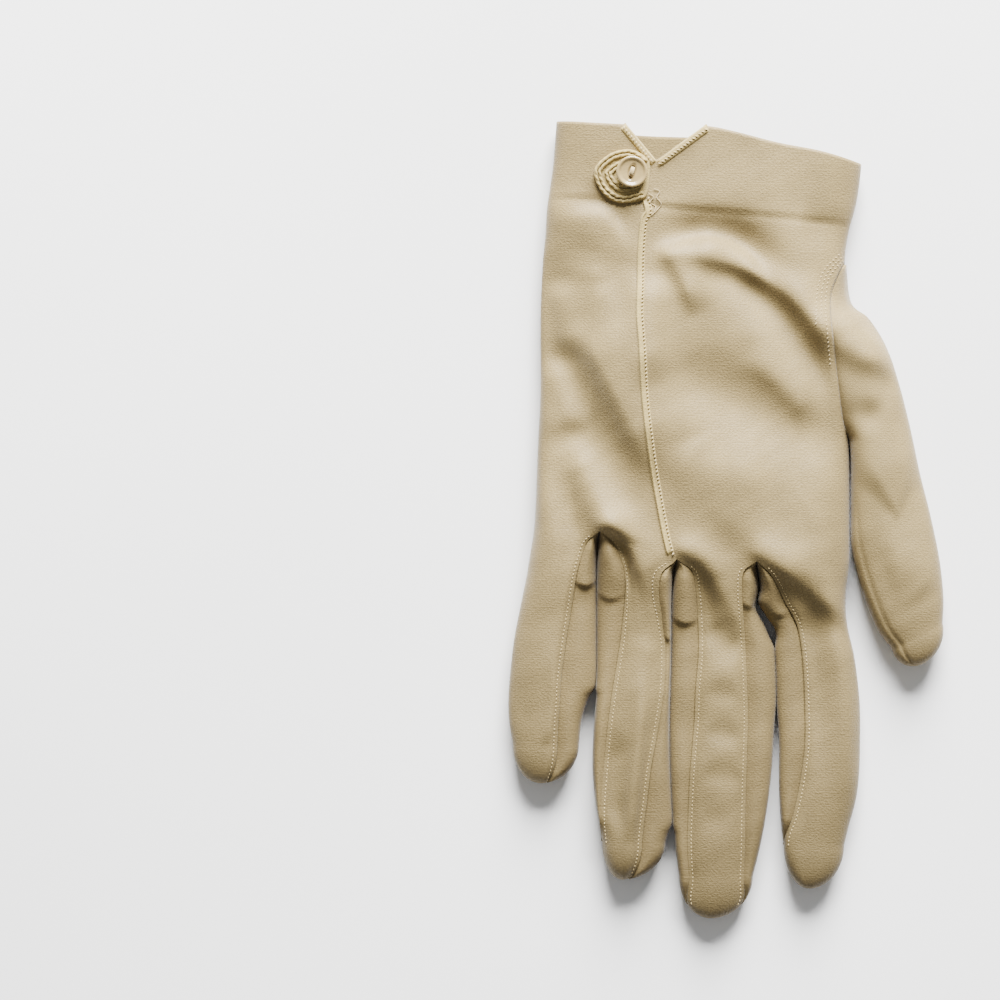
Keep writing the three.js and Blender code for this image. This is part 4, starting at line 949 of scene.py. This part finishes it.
def button_grid(radius, thickness, rim, spot, base, angle):
    """A turned disc: its profile goes round the axis, less a boat-shaped eye and two holes on the face."""
    face = thickness - rim
    profile = np.array([
        (0, 0), (0.86, 0), (0.97, 0.25), (1, 0.6), (1, thickness - 0.5), (0.985, thickness - 0.2),
        (0.95, thickness - 0.05), (0.9, thickness), (0.84, thickness - 0.05), (0.79, thickness - 0.25),
        (0.74, face + 0.08), (BUTTON_FACE, face),
    ])
    inner = np.linspace(BUTTON_FACE, 0, 34)[1:]
    inner_z = face - BUTTON_DISH * (1 - (inner / BUTTON_FACE) ** 2)
    ring = np.concatenate([profile[:, 0], inner]) * radius
    height = np.concatenate([profile[:, 1], inner_z])
    turn = np.linspace(0, 2 * math.pi, 97)
    x, y = ring[:, None] * np.cos(turn), ring[:, None] * np.sin(turn)
    eye = np.hypot(x / (BUTTON_EYE.length * radius), y / (BUTTON_EYE.width * radius))
    dent = BUTTON_EYE.depth * (1 - ease((eye - BUTTON_EYE.floor) / BUTTON_EYE.slope))
    for side in (-1, 1):
        away = np.hypot(x - side * BUTTON_HOLES.place * radius, y)
        dent = dent + BUTTON_HOLES.depth * (1 - ease((away - BUTTON_HOLES.radius) / BUTTON_HOLES.slope))
    z = height[:, None] - np.where(np.arange(len(ring))[:, None] >= len(profile), dent, 0)
    turned_x = x * math.cos(angle) - y * math.sin(angle)
    turned_y = x * math.sin(angle) + y * math.cos(angle)
    return np.stack([spot[0] + turned_x, spot[1] + turned_y, base + z], -1)


def tube(path, radius, sides=10, twist=0.0, pitch=1.0):
    """A tube along a path of points: a circle square to the path at each of them, which closes at both
    ends. A twist cuts two plies into it, as a wave of two turns that goes round once in a pitch."""
    along = unit(np.gradient(path, axis=0))
    up = np.tile((0.0, 0.0, 1.0), (len(path), 1))
    steep = np.abs(along[:, 2]) > 0.9
    up[steep] = (1.0, 0.0, 0.0)
    side = unit(np.cross(along, up))
    over = np.cross(side, along)
    turn = np.linspace(0, 2 * math.pi, sides + 1)
    circle = np.cos(turn)[None, :, None] * side[:, None] + np.sin(turn)[None, :, None] * over[:, None]
    walked = walked_along(path)
    to_end = np.minimum(walked, walked[-1] - walked) / radius
    girth = radius * np.sqrt(1 - (1 - np.minimum(to_end, 1)) ** 2)
    plies = 1 + twist * (np.cos(2 * turn[None] - 2 * math.pi * walked[:, None] / pitch) - 1)
    return path[:, None] + (girth[:, None] * plies)[..., None] * circle


def stitch_row(path, normal, pitch, thread, length=0.72, slant=0.0):
    """Stitches along a path: short threads, a pitch apart, that bend down into the cloth at both ends.
    Each is the same small tube, turned to the path's direction and the cloth's normal there, or slanted
    from that direction by an angle."""
    walked = walked_along(path)
    at = np.arange(pitch / 2, walked[-1], pitch)
    spot = read_at(at, walked, path)
    ahead, behind = (read_at(at + step, walked, path) for step in (DIRECTION_STEP, -DIRECTION_STEP))
    along = unit(ahead - behind)
    side = unit(np.cross(along, read_at(at, walked, normal)))
    up = np.cross(side, along)
    along = along * math.cos(slant) + side * math.sin(slant)
    side = np.cross(along, up)
    step, girth = STITCH_RINGS["step"], thread * STITCH_RINGS["girth"]
    turn = np.arange(STITCH_SIDES) * 2 * math.pi / STITCH_SIDES
    height = thread * (STITCH.lift - STITCH.dip * step[:, None] ** 4)
    local = np.stack(np.broadcast_arrays(
        (step * length / 2 * pitch)[:, None],
        girth[:, None] * np.cos(turn),
        girth[:, None] * np.sin(turn) * STITCH.flatness + height,
    ), -1).reshape(-1, 3)
    basis = np.stack([along, side, up], 1)
    return spot[:, None] + np.einsum("vc,ncd->nvd", local, basis)


def stitch_faces(count):
    """Faces of so many separate little tubes, with both ends closed."""
    rings, sides = len(STITCH_RINGS["step"]), STITCH_SIDES
    ring, turn = np.meshgrid(np.arange(rings - 1), np.arange(sides), indexing="ij")
    after = (turn + 1) % sides
    wall = np.stack([ring * sides + turn, ring * sides + after,
                     (ring + 1) * sides + after, (ring + 1) * sides + turn], -1).reshape(-1, 4)
    first = np.arange(sides)[::-1]
    last = (rings - 1) * sides + np.arange(sides)
    offset = np.arange(count)[:, None, None] * rings * sides
    walls = (wall[None] + offset).reshape(-1, 4).tolist()
    ends = (np.stack([first, last])[None] + offset).reshape(-1, sides).tolist()
    return walls + ends


def palm_row(path, rise=0.0):
    """A path on the palm's cloth, or a little above it, with the cloth's normal, from the slope of its
    height each way."""
    x, y = path[:, 0], path[:, 1]
    z = palm_height(x, y) + rise
    step = SLOPE_STEP
    slope_x = (palm_height(x + step, y) - palm_height(x - step, y)) / (2 * step)
    slope_y = (palm_height(x, y + step) - palm_height(x, y - step)) / (2 * step)
    return np.stack([x, y, z], -1), np.stack([-slope_x, -slope_y, np.ones_like(x)], -1)


def panel_row(k, sign, end, is_back, inward):
    """The stitch line beside a finger's seam, as far in from it as inward says, and the cloth's normal."""
    share, angle = finger_steps(300, end, 40)
    level = lerp(crotch_level(k, sign), FINGERS[k].cap, share)
    section = finger_section(k, level, level, angle)
    half = np.maximum((section.seam_right - section.seam_left) / 2, 2 * inward)
    column = sign * (1 - inward / half)
    path = panel_point(k, share, angle, column, is_back)[:, 0]
    inner = panel_point(k, share, angle, column - sign * 0.04, is_back)[:, 0]
    normal = np.cross(np.gradient(path, axis=0), (inner - path) * sign)
    normal *= np.sign(normal[:, 2:]) * (-1 if is_back else 1)
    return path[UNSTITCHED_STEPS:], unit(normal)[UNSTITCHED_STEPS:]


def grid_faces(rows, columns):
    """Four corners of each cell of a grid of points, turned the same way all over."""
    first = np.arange(rows - 1)[:, None] * columns + np.arange(columns - 1)[None]
    return np.stack([first, first + columns, first + columns + 1, first + 1], -1).reshape(-1, 4)


def cloth_map(grid):
    """Place of each point on the cloth in millimetres: length walked across the row, and y down it."""
    walked = np.linalg.norm(np.diff(grid, axis=1), axis=2)
    walked = np.concatenate([np.zeros((len(grid), 1)), np.cumsum(walked, axis=1)], axis=1)
    middle = grid.shape[1] // 2
    across = walked - walked[:, middle:middle + 1] + grid[:, middle:middle + 1, 0]
    return np.stack([across, grid[..., 1]], -1)


def make_surface(name, patches, materials, wall=0.0):
    """One smooth mesh from grids of points in millimetres, merged where they meet. With a wall it is
    thickened inwards, and the inside takes the second material."""
    points, faces, places, start = [], [], [], 0
    for grid in patches:
        rows, columns = grid.shape[:2]
        cells = grid_faces(rows, columns)
        points.append(grid.reshape(-1, 3))
        faces.append(cells + start)
        places.append(cloth_map(grid).reshape(-1, 2)[cells].reshape(-1, 2))
        start += rows * columns
    mesh = bpy.data.meshes.new(name)
    mesh.from_pydata((np.concatenate(points) * MM).tolist(), [], np.concatenate(faces).tolist())
    layer = mesh.uv_layers.new(name="cloth_mm")
    layer.data.foreach_set("uv", np.concatenate(places).ravel())
    work = bmesh.new()
    work.from_mesh(mesh)
    bmesh.ops.remove_doubles(work, verts=work.verts, dist=MERGE * MM)
    work.to_mesh(mesh)
    work.free()
    piece = add_piece(name, mesh, materials)
    if wall:
        shell = piece.modifiers.new("wall", "SOLIDIFY")
        shell.thickness = wall * MM
        shell.offset = -1
        shell.material_offset = len(materials) - 1
    return piece


def make_stitches(name, rows, material):
    """All the stitches of one kind in one mesh, from rows of little tubes in millimetres."""
    tubes = np.concatenate(rows)
    mesh = bpy.data.meshes.new(name)
    mesh.from_pydata((tubes.reshape(-1, 3) * MM).tolist(), [], stitch_faces(len(tubes)))
    return add_piece(name, mesh, [material])


def add_piece(name, mesh, materials):
    """An object at the origin with a smooth-shaded mesh and its materials."""
    mesh.shade_smooth()
    for material in materials:
        mesh.materials.append(material)
    piece = bpy.data.objects.new(name, mesh)
    bpy.context.scene.collection.objects.link(piece)
    return piece


def settle(piece, slot, *nodes):
    """Ties a finished piece to the frame: it rides on the glove and stands for its nodes."""
    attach(piece, "root")
    if nodes:
        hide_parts(*nodes)


def srgb(code):
    """A hex colour turned from sRGB to linear light, with an alpha of 1."""
    value = np.array([int(code[i:i + 2], 16) / 255 for i in (1, 3, 5)])
    linear = np.where(value <= 0.04045, value / 12.92, ((value + 0.055) / 1.055) ** 2.4)
    return (*linear.tolist(), 1.0)


def add_node(tree, kind, settings=None, links=None):
    """Adds a shader node, gives its inputs or properties their values, and links its inputs."""
    node = tree.nodes.new("ShaderNode" + kind)
    for key, value in (settings or {}).items():
        if isinstance(key, str) and hasattr(node, key):
            setattr(node, key, value)
        else:
            node.inputs[key].default_value = value
    for key, socket in (links or {}).items():
        tree.links.new(socket, node.inputs[key])
    return node


def tinted(colour, factor):
    """A colour made lighter or darker by a factor, with an alpha of 1."""
    return (*(min(value * factor, 1.0) for value in colour), 1.0)


def two_tones(colour):
    """Settings of a Mix node that goes from a colour's darker tone to its lighter one."""
    darker, lighter = (tinted(colour, factor) for factor in TONES)
    return {"data_type": "RGBA", 6: darker, 7: lighter}


def principled(name, roughness, **settings):
    """A new material with one principled shader, and that shader and its tree to build on."""
    material = bpy.data.materials.new(name)
    material.use_nodes = True
    tree = material.node_tree
    tree.nodes.clear()
    values = {"Roughness": roughness, **{key.replace("_", " "): value for key, value in settings.items()}}
    shader = add_node(tree, "BsdfPrincipled", values)
    add_node(tree, "OutputMaterial", links={"Surface": shader.outputs["BSDF"]})
    return material, tree, shader


def knit(name, colour, rows=0.65, wales=0.5, roughness=0.5, sheen=0.12, relief=0.4):
    """Warp-knitted nylon tricot: fine rows of loops across the hand and finer ribs down it, slightly
    uneven yarn, and soft clouds of lighter and darker cloth. The filament yarn gives it a satin sheen.
    The loops' colour is painted shade, lighter on their crests and darker between them, and the cloth
    is drawn darker towards the fingertips as painted shade. The rows and the yarn's unevenness are
    drawn coarser than real, so that they show."""
    material, tree, shader = principled(
        name, roughness, Sheen_Weight=sheen, Sheen_Roughness=0.4, Specular_IOR_Level=0.2,
    )
    place = add_node(tree, "UVMap", {"uv_map": "cloth_mm"}).outputs["UV"]
    axes = add_node(tree, "SeparateXYZ", links={"Vector": place})
    object_place = add_node(tree, "TexCoord").outputs["Object"]
    in_mm = add_node(tree, "VectorMath", {"operation": "SCALE", "Scale": 1 / MM}, {0: object_place})
    clouds = add_node(
        tree, "TexNoise", {"Scale": CLOUDS_PER_MM, "Detail": 4.0, "Roughness": 0.6},
        {"Vector": in_mm.outputs[0]},
    )
    yarn = add_node(
        tree, "TexNoise", {"Scale": YARN_PER_MM, "Detail": 2.0, "Roughness": 0.7}, {"Vector": place},
    )
    waves = []
    for axis, pitch in (("Y", rows), ("X", wales)):
        phase = add_node(
            tree, "Math", {"operation": "MULTIPLY_ADD", 1: 2 * math.pi / pitch},
            {0: axes.outputs[axis], 2: yarn.outputs["Fac"]},
        )
        waves.append(add_node(tree, "Math", {"operation": "SINE"}, {0: phase.outputs[0]}).outputs[0])
    loops = add_node(tree, "Math", {"operation": "MULTIPLY_ADD", 1: 0.45}, {0: waves[1], 2: waves[0]})
    height = add_node(
        tree, "Math", {"operation": "MULTIPLY_ADD", 1: LOOP_RELIEF},
        {0: loops.outputs[0], 2: yarn.outputs["Fac"]},
    )
    # Painted shade: the loops' colour is lighter on their crests and darker between them, added to the
    # cloth's clouds.
    clouds_and_painted_loop_shade = add_node(
        tree, "Math", {"operation": "MULTIPLY_ADD", 1: LOOP_PAINTED_SHADE},
        {0: loops.outputs[0], 2: clouds.outputs["Fac"]},
    )
    speckled = add_node(
        tree, "Math", {"operation": "MULTIPLY_ADD", 1: YARN_SHADE},
        {0: yarn.outputs["Fac"], 2: clouds_and_painted_loop_shade.outputs[0]},
    )
    darkest, lightest = SHADE_RANGE
    share = add_node(
        tree, "MapRange", {"From Min": darkest, "From Max": lightest}, {"Value": speckled.outputs[0]},
    )
    cloth = add_node(tree, "Mix", two_tones(colour), {0: share.outputs[0]})
    down = add_node(tree, "SeparateXYZ", links={"Vector": in_mm.outputs[0]})
    # Painted shade: the cloth's colour is drawn darker towards the fingertips.
    tips, palm = TIP_PAINTED_SHADE_LEVELS
    painted_tip_shade = add_node(
        tree, "MapRange", {"From Min": tips, "From Max": palm, "To Min": TIP_PAINTED_SHADE, "To Max": 1.0},
        {"Value": down.outputs["Y"]},
    )
    tip_shaded_cloth = add_node(
        tree, "VectorMath", {"operation": "SCALE"}, {0: cloth.outputs[2], "Scale": painted_tip_shade.outputs[0]},
    )
    bump = add_node(tree, "Bump", {"Strength": 0.5, "Distance": relief * MM}, {"Height": height.outputs[0]})
    tree.links.new(tip_shaded_cloth.outputs[0], shader.inputs["Base Color"])
    tree.links.new(bump.outputs[0], shader.inputs["Normal"])
    return material


def spun_thread(name, colour, pitch=0.35):
    """Mercerised cotton sewing thread: two plies twisted together, drawn as fine flecks, with a soft
    lustre and slight fuzz."""
    material, tree, shader = principled(name, 0.6, Sheen_Weight=0.35, Sheen_Roughness=0.5)
    object_place = add_node(tree, "TexCoord").outputs["Object"]
    flecks = add_node(
        tree, "TexNoise", {"Scale": 1 / (pitch * MM), "Detail": 2.0, "Roughness": 0.6},
        {"Vector": object_place},
    )
    colour = add_node(tree, "Mix", two_tones(colour), {0: flecks.outputs["Fac"]})
    bump = add_node(tree, "Bump", {"Strength": 0.4, "Distance": 0.04 * MM}, {"Height": flecks.outputs["Fac"]})
    tree.links.new(colour.outputs[2], shader.inputs["Base Color"])
    tree.links.new(bump.outputs[0], shader.inputs["Normal"])
    return material


def pearl_resin(name, colour):
    """Cast polyester button resin with pearl pigment, turned and tumbled: glossy, with soft clouds of
    pigment drawn out in one direction."""
    material, tree, shader = principled(name, 0.28, IOR=1.54, Coat_Weight=0.5, Coat_Roughness=0.12)
    object_place = add_node(tree, "TexCoord").outputs["Object"]
    drawn = add_node(
        tree, "Mapping", {"Rotation": (0, 0, 0.6), "Scale": (260, 900, 400)}, {"Vector": object_place},
    )
    clouds = add_node(
        tree, "TexNoise", {"Scale": 1.0, "Detail": 3.0, "Distortion": 1.2}, {"Vector": drawn.outputs[0]},
    )
    colour = add_node(tree, "Mix", two_tones(colour), {0: clouds.outputs["Fac"]})
    tree.links.new(colour.outputs[2], shader.inputs["Base Color"])
    return material


def painted_floor(name, colour):
    """A matt painted board: nearly even, with a trace of roller texture."""
    material, tree, shader = principled(name, 0.8)
    object_place = add_node(tree, "TexCoord").outputs["Object"]
    cloud = add_node(tree, "TexNoise", {"Scale": 3.0, "Detail": 2.0}, {"Vector": object_place})
    colour = add_node(tree, "Mix", two_tones(colour), {0: cloud.outputs["Fac"]})
    tree.links.new(colour.outputs[2], shader.inputs["Base Color"])
    return material


def finish_of(kind):
    """The material of that kind, made the first time that it is asked for."""
    if kind in bpy.data.materials:
        return bpy.data.materials[kind]
    colours = bpy.context.scene.glove_colours
    makers = {
        "tricot_face": lambda: knit(kind, colours.cloth),
        # Painted shade: the side strips are the same cloth, drawn a little darker where they lie between the
        # fingers.
        "tricot_strip_painted_shade": lambda: knit(kind, colours.strip, roughness=0.55),
        "tricot_inside": lambda: knit(kind, colours.inside, rows=0.9, roughness=0.8),
        "tricot_trim": lambda: knit(kind, colours.trim, rows=0.5, roughness=0.6, relief=0.35),
        "cotton_thread": lambda: spun_thread(kind, colours.thread),
        "pearl_resin": lambda: pearl_resin(kind, colours.button),
        "painted_floor": lambda: painted_floor(kind, colours.floor),
    }
    return makers[kind]()


def length_property(name, description, metres):
    """A length of the property group."""
    return bpy.props.FloatProperty(
        name=name, description=description, default=metres, unit="LENGTH", precision=5,
    )


class GLOVE_PG_sizes(bpy.types.PropertyGroup):
    """Sizes of the glove's cloth, seams, stitches and button."""

    wall: length_property("Cloth", "Thickness of the cloth", 0.0006)
    stitch: length_property("Stitch", "Distance from one stitch to the next", 0.0011)
    thread: length_property("Thread", "Radius of the sewing thread", 0.00016)
    welt_width: length_property("Seam width", "Width of the raised seam on the palm", 0.0024)
    welt_height: length_property("Seam height", "Height of the raised seam on the palm", 0.0009)
    binding: length_property("Binding", "Width of the binding along the notch", 0.0023)
    button: length_property("Button", "Diameter of the button", 0.009)


def colour_property(name, description, code):
    """A colour of the property group, from its hex code."""
    return bpy.props.FloatVectorProperty(
        name=name, description=description, default=srgb(code)[:3], min=0, max=1, subtype="COLOR",
    )


class GLOVE_PG_colours(bpy.types.PropertyGroup):
    """Colours of the glove's cloth, thread and button, and of the floor."""

    cloth: colour_property("Cloth", "Colour of the knitted cloth", "#7F6E49")
    # Painted shade: the strips' colour is the cloth's, a little darker, for the shade between the fingers.
    strip: colour_property("Side strips", "Colour of the strips between the fingers", "#796844")
    inside: colour_property("Inside", "Colour of the cloth's inner face", "#73633F")
    trim: colour_property("Trim", "Colour of the palm's seam, the bindings and the tab", "#9A8755")
    thread: colour_property("Thread", "Colour of the sewing thread", "#A28D5D")
    button: colour_property("Button", "Colour of the pearl button", "#8F7B50")
    floor: colour_property("Floor", "Colour of the floor", "#F6F6F5")


def sizes_mm():
    """The sizes of the property group, in millimetres."""
    group = bpy.context.scene.glove_sizes
    return SimpleNamespace(**{name: getattr(group, name) / MM for name in group.__annotations__})


class GLOVE_OT_trank(bpy.types.Operator):
    """Makes the hand of the glove: palm and back with the fingers, from one folded piece of cloth"""

    bl_idname = "glove.trank"
    bl_label = "Hand and fingers"

    def execute(self, context):
        cloth = [finish_of("tricot_face"), finish_of("tricot_inside")]
        hand = make_surface("glove_hand", trank_patches(), cloth, sizes_mm().wall)
        settle(hand, "glove_cloth", "trank")
        return {"FINISHED"}


class GLOVE_OT_facing(bpy.types.Operator):
    """Makes the turned-in layer inside the cuff"""

    bl_idname = "glove.facing"
    bl_label = "Cuff's inner layer"

    def execute(self, context):
        shares = np.linspace(0.001, HEM_DEPTH, 30)
        inset = sizes_mm().wall + FACING_GAP
        sides = ((False, FACING_COLUMNS), (True, BACK_COLUMNS))
        patches = [palm_grid(is_back, shares, inner, inset) for is_back, inner in sides]
        facing = make_surface("cuff_inner_layer", patches, [finish_of("tricot_inside")], sizes_mm().wall)
        settle(facing, "facing_cloth", "cuff_facing")
        return {"FINISHED"}


class GLOVE_OT_side_strips(bpy.types.Operator):
    """Makes the strips between the fingers, each in one piece from fingertip to fingertip"""

    bl_idname = "glove.side_strips"
    bl_label = "Side strips of the fingers"

    def execute(self, context):
        cloth = [finish_of("tricot_strip_painted_shade"), finish_of("tricot_inside")]
        sizes = sizes_mm()
        for k in range(len(FINGERS) - 1):
            one, other = FINGERS[k], FINGERS[k + 1]
            sides = [strip_side(k, 1, one.right_end), strip_side(k + 1, -1, other.left_end)]
            name = f"side_strip_{one.name}_{other.name}"
            strip = make_surface(name, sides, cloth, sizes.wall)
            settle(strip, "strip_cloth", f"fourchette_{one.name}_{other.name}")
        return {"FINISHED"}


class GLOVE_OT_thumb(bpy.types.Operator):
    """Makes the thumb, set into its hole at the side of the palm"""

    bl_idname = "glove.thumb"
    bl_label = "Thumb"

    def execute(self, context):
        cloth = [finish_of("tricot_face"), finish_of("tricot_inside")]
        thumb = make_surface("glove_thumb", thumb_patches(), cloth, sizes_mm().wall)
        settle(thumb, "glove_cloth", "thumb")
        return {"FINISHED"}


class GLOVE_OT_trims(bpy.types.Operator):
    """Makes the raised seam on the palm and the bindings along the cuff's notch"""

    bl_idname = "glove.trims"
    bl_label = "Palm seam and bindings"

    def execute(self, context):
        sizes = sizes_mm()
        trim = [finish_of("tricot_trim")]
        path = curve_through(CENTRE_SEAM, 260)
        band = band_on_palm(path, sizes.welt_width, sizes.welt_height, welt)
        seam = make_surface("palm_seam", [band], trim)
        settle(seam, "trim_cloth", "centre_seam")
        for corner, side in ((0, "left"), (2, "right")):
            path = notch_path(corner, sizes.binding / 2 - BINDING_LAP, -0.03, 1.02, 60)
            outer = 1 if corner == 0 else -1
            grid = band_on_palm(
                path, sizes.binding, BINDING_HEIGHT, lambda across: rolled_band(across * outer),
            )
            binding = make_surface(f"notch_binding_cloth_{side}", [grid], trim)
            settle(binding, "trim_cloth", f"notch_binding_{side}")
        return {"FINISHED"}


class GLOVE_OT_tab(bpy.types.Operator):
    """Makes the button's tab with the cords that are sewn round on it"""

    bl_idname = "glove.tab"
    bl_label = "Button's tab"

    def execute(self, context):
        trim = [finish_of("tricot_trim")]
        tab = make_surface("tab_cloth", [tab_grid(TAB_PLATE)], trim)
        settle(tab, "trim_cloth", "button_tab")
        cords = [tab_cord(offset, TAB_CORD, TAB_PLATE) for offset in CORD_OFFSETS]
        settle(make_surface("tab_cords", cords, trim), "trim_cloth")
        return {"FINISHED"}


class GLOVE_OT_button(bpy.types.Operator):
    """Makes the pearl button with its eye and holes"""

    bl_idname = "glove.button"
    bl_label = "Button"

    def execute(self, context):
        low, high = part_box("button")
        grid = button_grid(
            sizes_mm().button / 2, (high[2] - low[2]) / MM, BUTTON_RIM, BUTTON_SPOT,
            low[2] / MM - BUTTON_SINK, BUTTON_ANGLE,
        )
        button = make_surface("pearl_button", [grid], [finish_of("pearl_resin")])
        settle(button, "button_pearl", "button")
        return {"FINISHED"}


class GLOVE_OT_button_thread(bpy.types.Operator):
    """Makes the strands that hold the button and the loose ends below it"""

    bl_idname = "glove.button_thread"
    bl_label = "Button's thread"

    def execute(self, context):
        low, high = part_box("button_thread")
        top, bottom = high[2] / MM - BUTTON_SINK, low[2] / MM - BUTTON_SINK
        strands = [tube(strand_path(offset, top, bottom), STRAND_RADIUS) for offset in STRAND_OFFSETS]
        thread = make_surface("button_strands", strands, [finish_of("cotton_thread")])
        settle(thread, "sewing_thread", "button_thread")
        ends = make_surface("loose_thread_ends", [loose_end(row) for row in LOOSE_ENDS],
                            [finish_of("cotton_thread")])
        settle(ends, "sewing_thread")
        return {"FINISHED"}


class GLOVE_OT_stitching(bpy.types.Operator):
    """Sews the stitches of the fingers, the palm's seam, the top of the thumb and the notch"""

    bl_idname = "glove.stitching"
    bl_label = "Stitches"

    def execute(self, context):
        sizes = sizes_mm()
        thread = finish_of("cotton_thread")
        fingers = []
        for k, finger in enumerate(FINGERS):
            for sign, end in ((-1, finger.left_end), (1, finger.right_end)):
                if end is None:
                    continue
                for is_back in (False, True):
                    path, normal = panel_row(k, sign, end, is_back, SEAM_STITCH_INSET)
                    fingers.append(stitch_row(path, normal, sizes.stitch, sizes.thread))
        settle(make_stitches("finger_stitches", fingers, thread), "sewing_thread")

        welt_side = beside(curve_through(CENTRE_SEAM, 300), WELT.stitches * sizes.welt_width / 2)
        sewn = palm_row(welt_side, 0.4 * sizes.welt_height)
        palm = [stitch_row(*sewn, sizes.stitch, 1.3 * sizes.thread, length=0.9, slant=0.7)]
        for points in THUMB_ROWS:
            path = curve_through(table("x y", points), 120)
            sewn = palm_row(path)
            palm.append(stitch_row(*sewn, 1.2 * sizes.stitch, sizes.thread, length=0.7, slant=0.5))
        settle(make_stitches("palm_stitches", palm, thread), "sewing_thread")

        notch = []
        for corner in (0, 2):
            path = notch_path(corner, sizes.binding - BINDING_LAP - NOTCH_STITCHES, 0.0, 0.98, 60)
            sewn = palm_row(path, BINDING_HEIGHT)
            notch.append(stitch_row(*sewn, sizes.stitch, 1.2 * sizes.thread, length=1.0, slant=0.8))
        settle(make_stitches("notch_stitches", notch, thread), "sewing_thread")
        return {"FINISHED"}


class GLOVE_OT_stage(bpy.types.Operator):
    """Sets the floor, the lights and the camera, which looks straight down"""

    bl_idname = "glove.stage"
    bl_label = "Floor, lights and camera"

    def execute(self, context):
        corners = [(-1, -1), (1, -1), (1, 1), (-1, 1)]
        mesh = bpy.data.meshes.new("floor")
        points = [(x * FLOOR_REACH, y * FLOOR_REACH, FLOOR_LEVEL) for x, y in corners]
        mesh.from_pydata(points, [], [(0, 1, 2, 3)])
        add_piece("floor", mesh, [finish_of("painted_floor")])
        world = bpy.data.worlds.new("studio")
        world.use_nodes = True
        backdrop = world.node_tree.nodes["Background"]
        backdrop.inputs["Color"].default_value = srgb("#FFFFFF")
        backdrop.inputs["Strength"].default_value = WORLD_LIGHT
        context.scene.world = world
        for name, spot, size, watts in LIGHTS:
            lamp = bpy.data.lights.new(name, "AREA")
            lamp.size = size
            lamp.energy = watts
            light = bpy.data.objects.new(name, lamp)
            light.location = spot
            light.rotation_euler = (-Vector(spot)).to_track_quat("-Z", "Y").to_euler()
            context.scene.collection.objects.link(light)
        eye = bpy.data.cameras.new("camera")
        eye.sensor_width = 36
        eye.lens = eye.sensor_width * (CAMERA_SPOT[2] - VIEW_LEVEL) / VIEW_WIDTH
        camera = bpy.data.objects.new("camera", eye)
        camera.location = CAMERA_SPOT
        context.scene.collection.objects.link(camera)
        context.scene.camera = camera
        return {"FINISHED"}


class GLOVE_PT_panel(bpy.types.Panel):
    """The glove's sizes and colours, and a button for each group of pieces"""

    bl_idname = "GLOVE_PT_panel"
    bl_label = "Dress glove"
    bl_space_type = "VIEW_3D"
    bl_region_type = "UI"
    bl_category = "Glove"

    def draw(self, context):
        for group in (context.scene.glove_sizes, context.scene.glove_colours):
            for name in group.__annotations__:
                self.layout.prop(group, name)
        for operator in OPERATORS:
            self.layout.operator(operator.bl_idname)


OPERATORS = (
    GLOVE_OT_trank, GLOVE_OT_facing, GLOVE_OT_side_strips, GLOVE_OT_thumb, GLOVE_OT_trims, GLOVE_OT_tab,
    GLOVE_OT_button, GLOVE_OT_button_thread, GLOVE_OT_stitching, GLOVE_OT_stage,
)
CLASSES = (GLOVE_PG_sizes, GLOVE_PG_colours, *OPERATORS, GLOVE_PT_panel)


def register():
    """Adds the property groups, the operators and the panel to Blender."""
    for item in CLASSES:
        bpy.utils.register_class(item)
    bpy.types.Scene.glove_sizes = bpy.props.PointerProperty(type=GLOVE_PG_sizes)
    bpy.types.Scene.glove_colours = bpy.props.PointerProperty(type=GLOVE_PG_colours)


def unregister():
    """Takes them out again."""
    del bpy.types.Scene.glove_sizes
    del bpy.types.Scene.glove_colours
    for item in reversed(CLASSES):
        bpy.utils.unregister_class(item)


def main():
    """Makes every piece in order."""
    register()
    for operator in OPERATORS:
        getattr(bpy.ops.glove, operator.bl_idname.split(".")[1])()


if __name__ == "__main__":
    main()
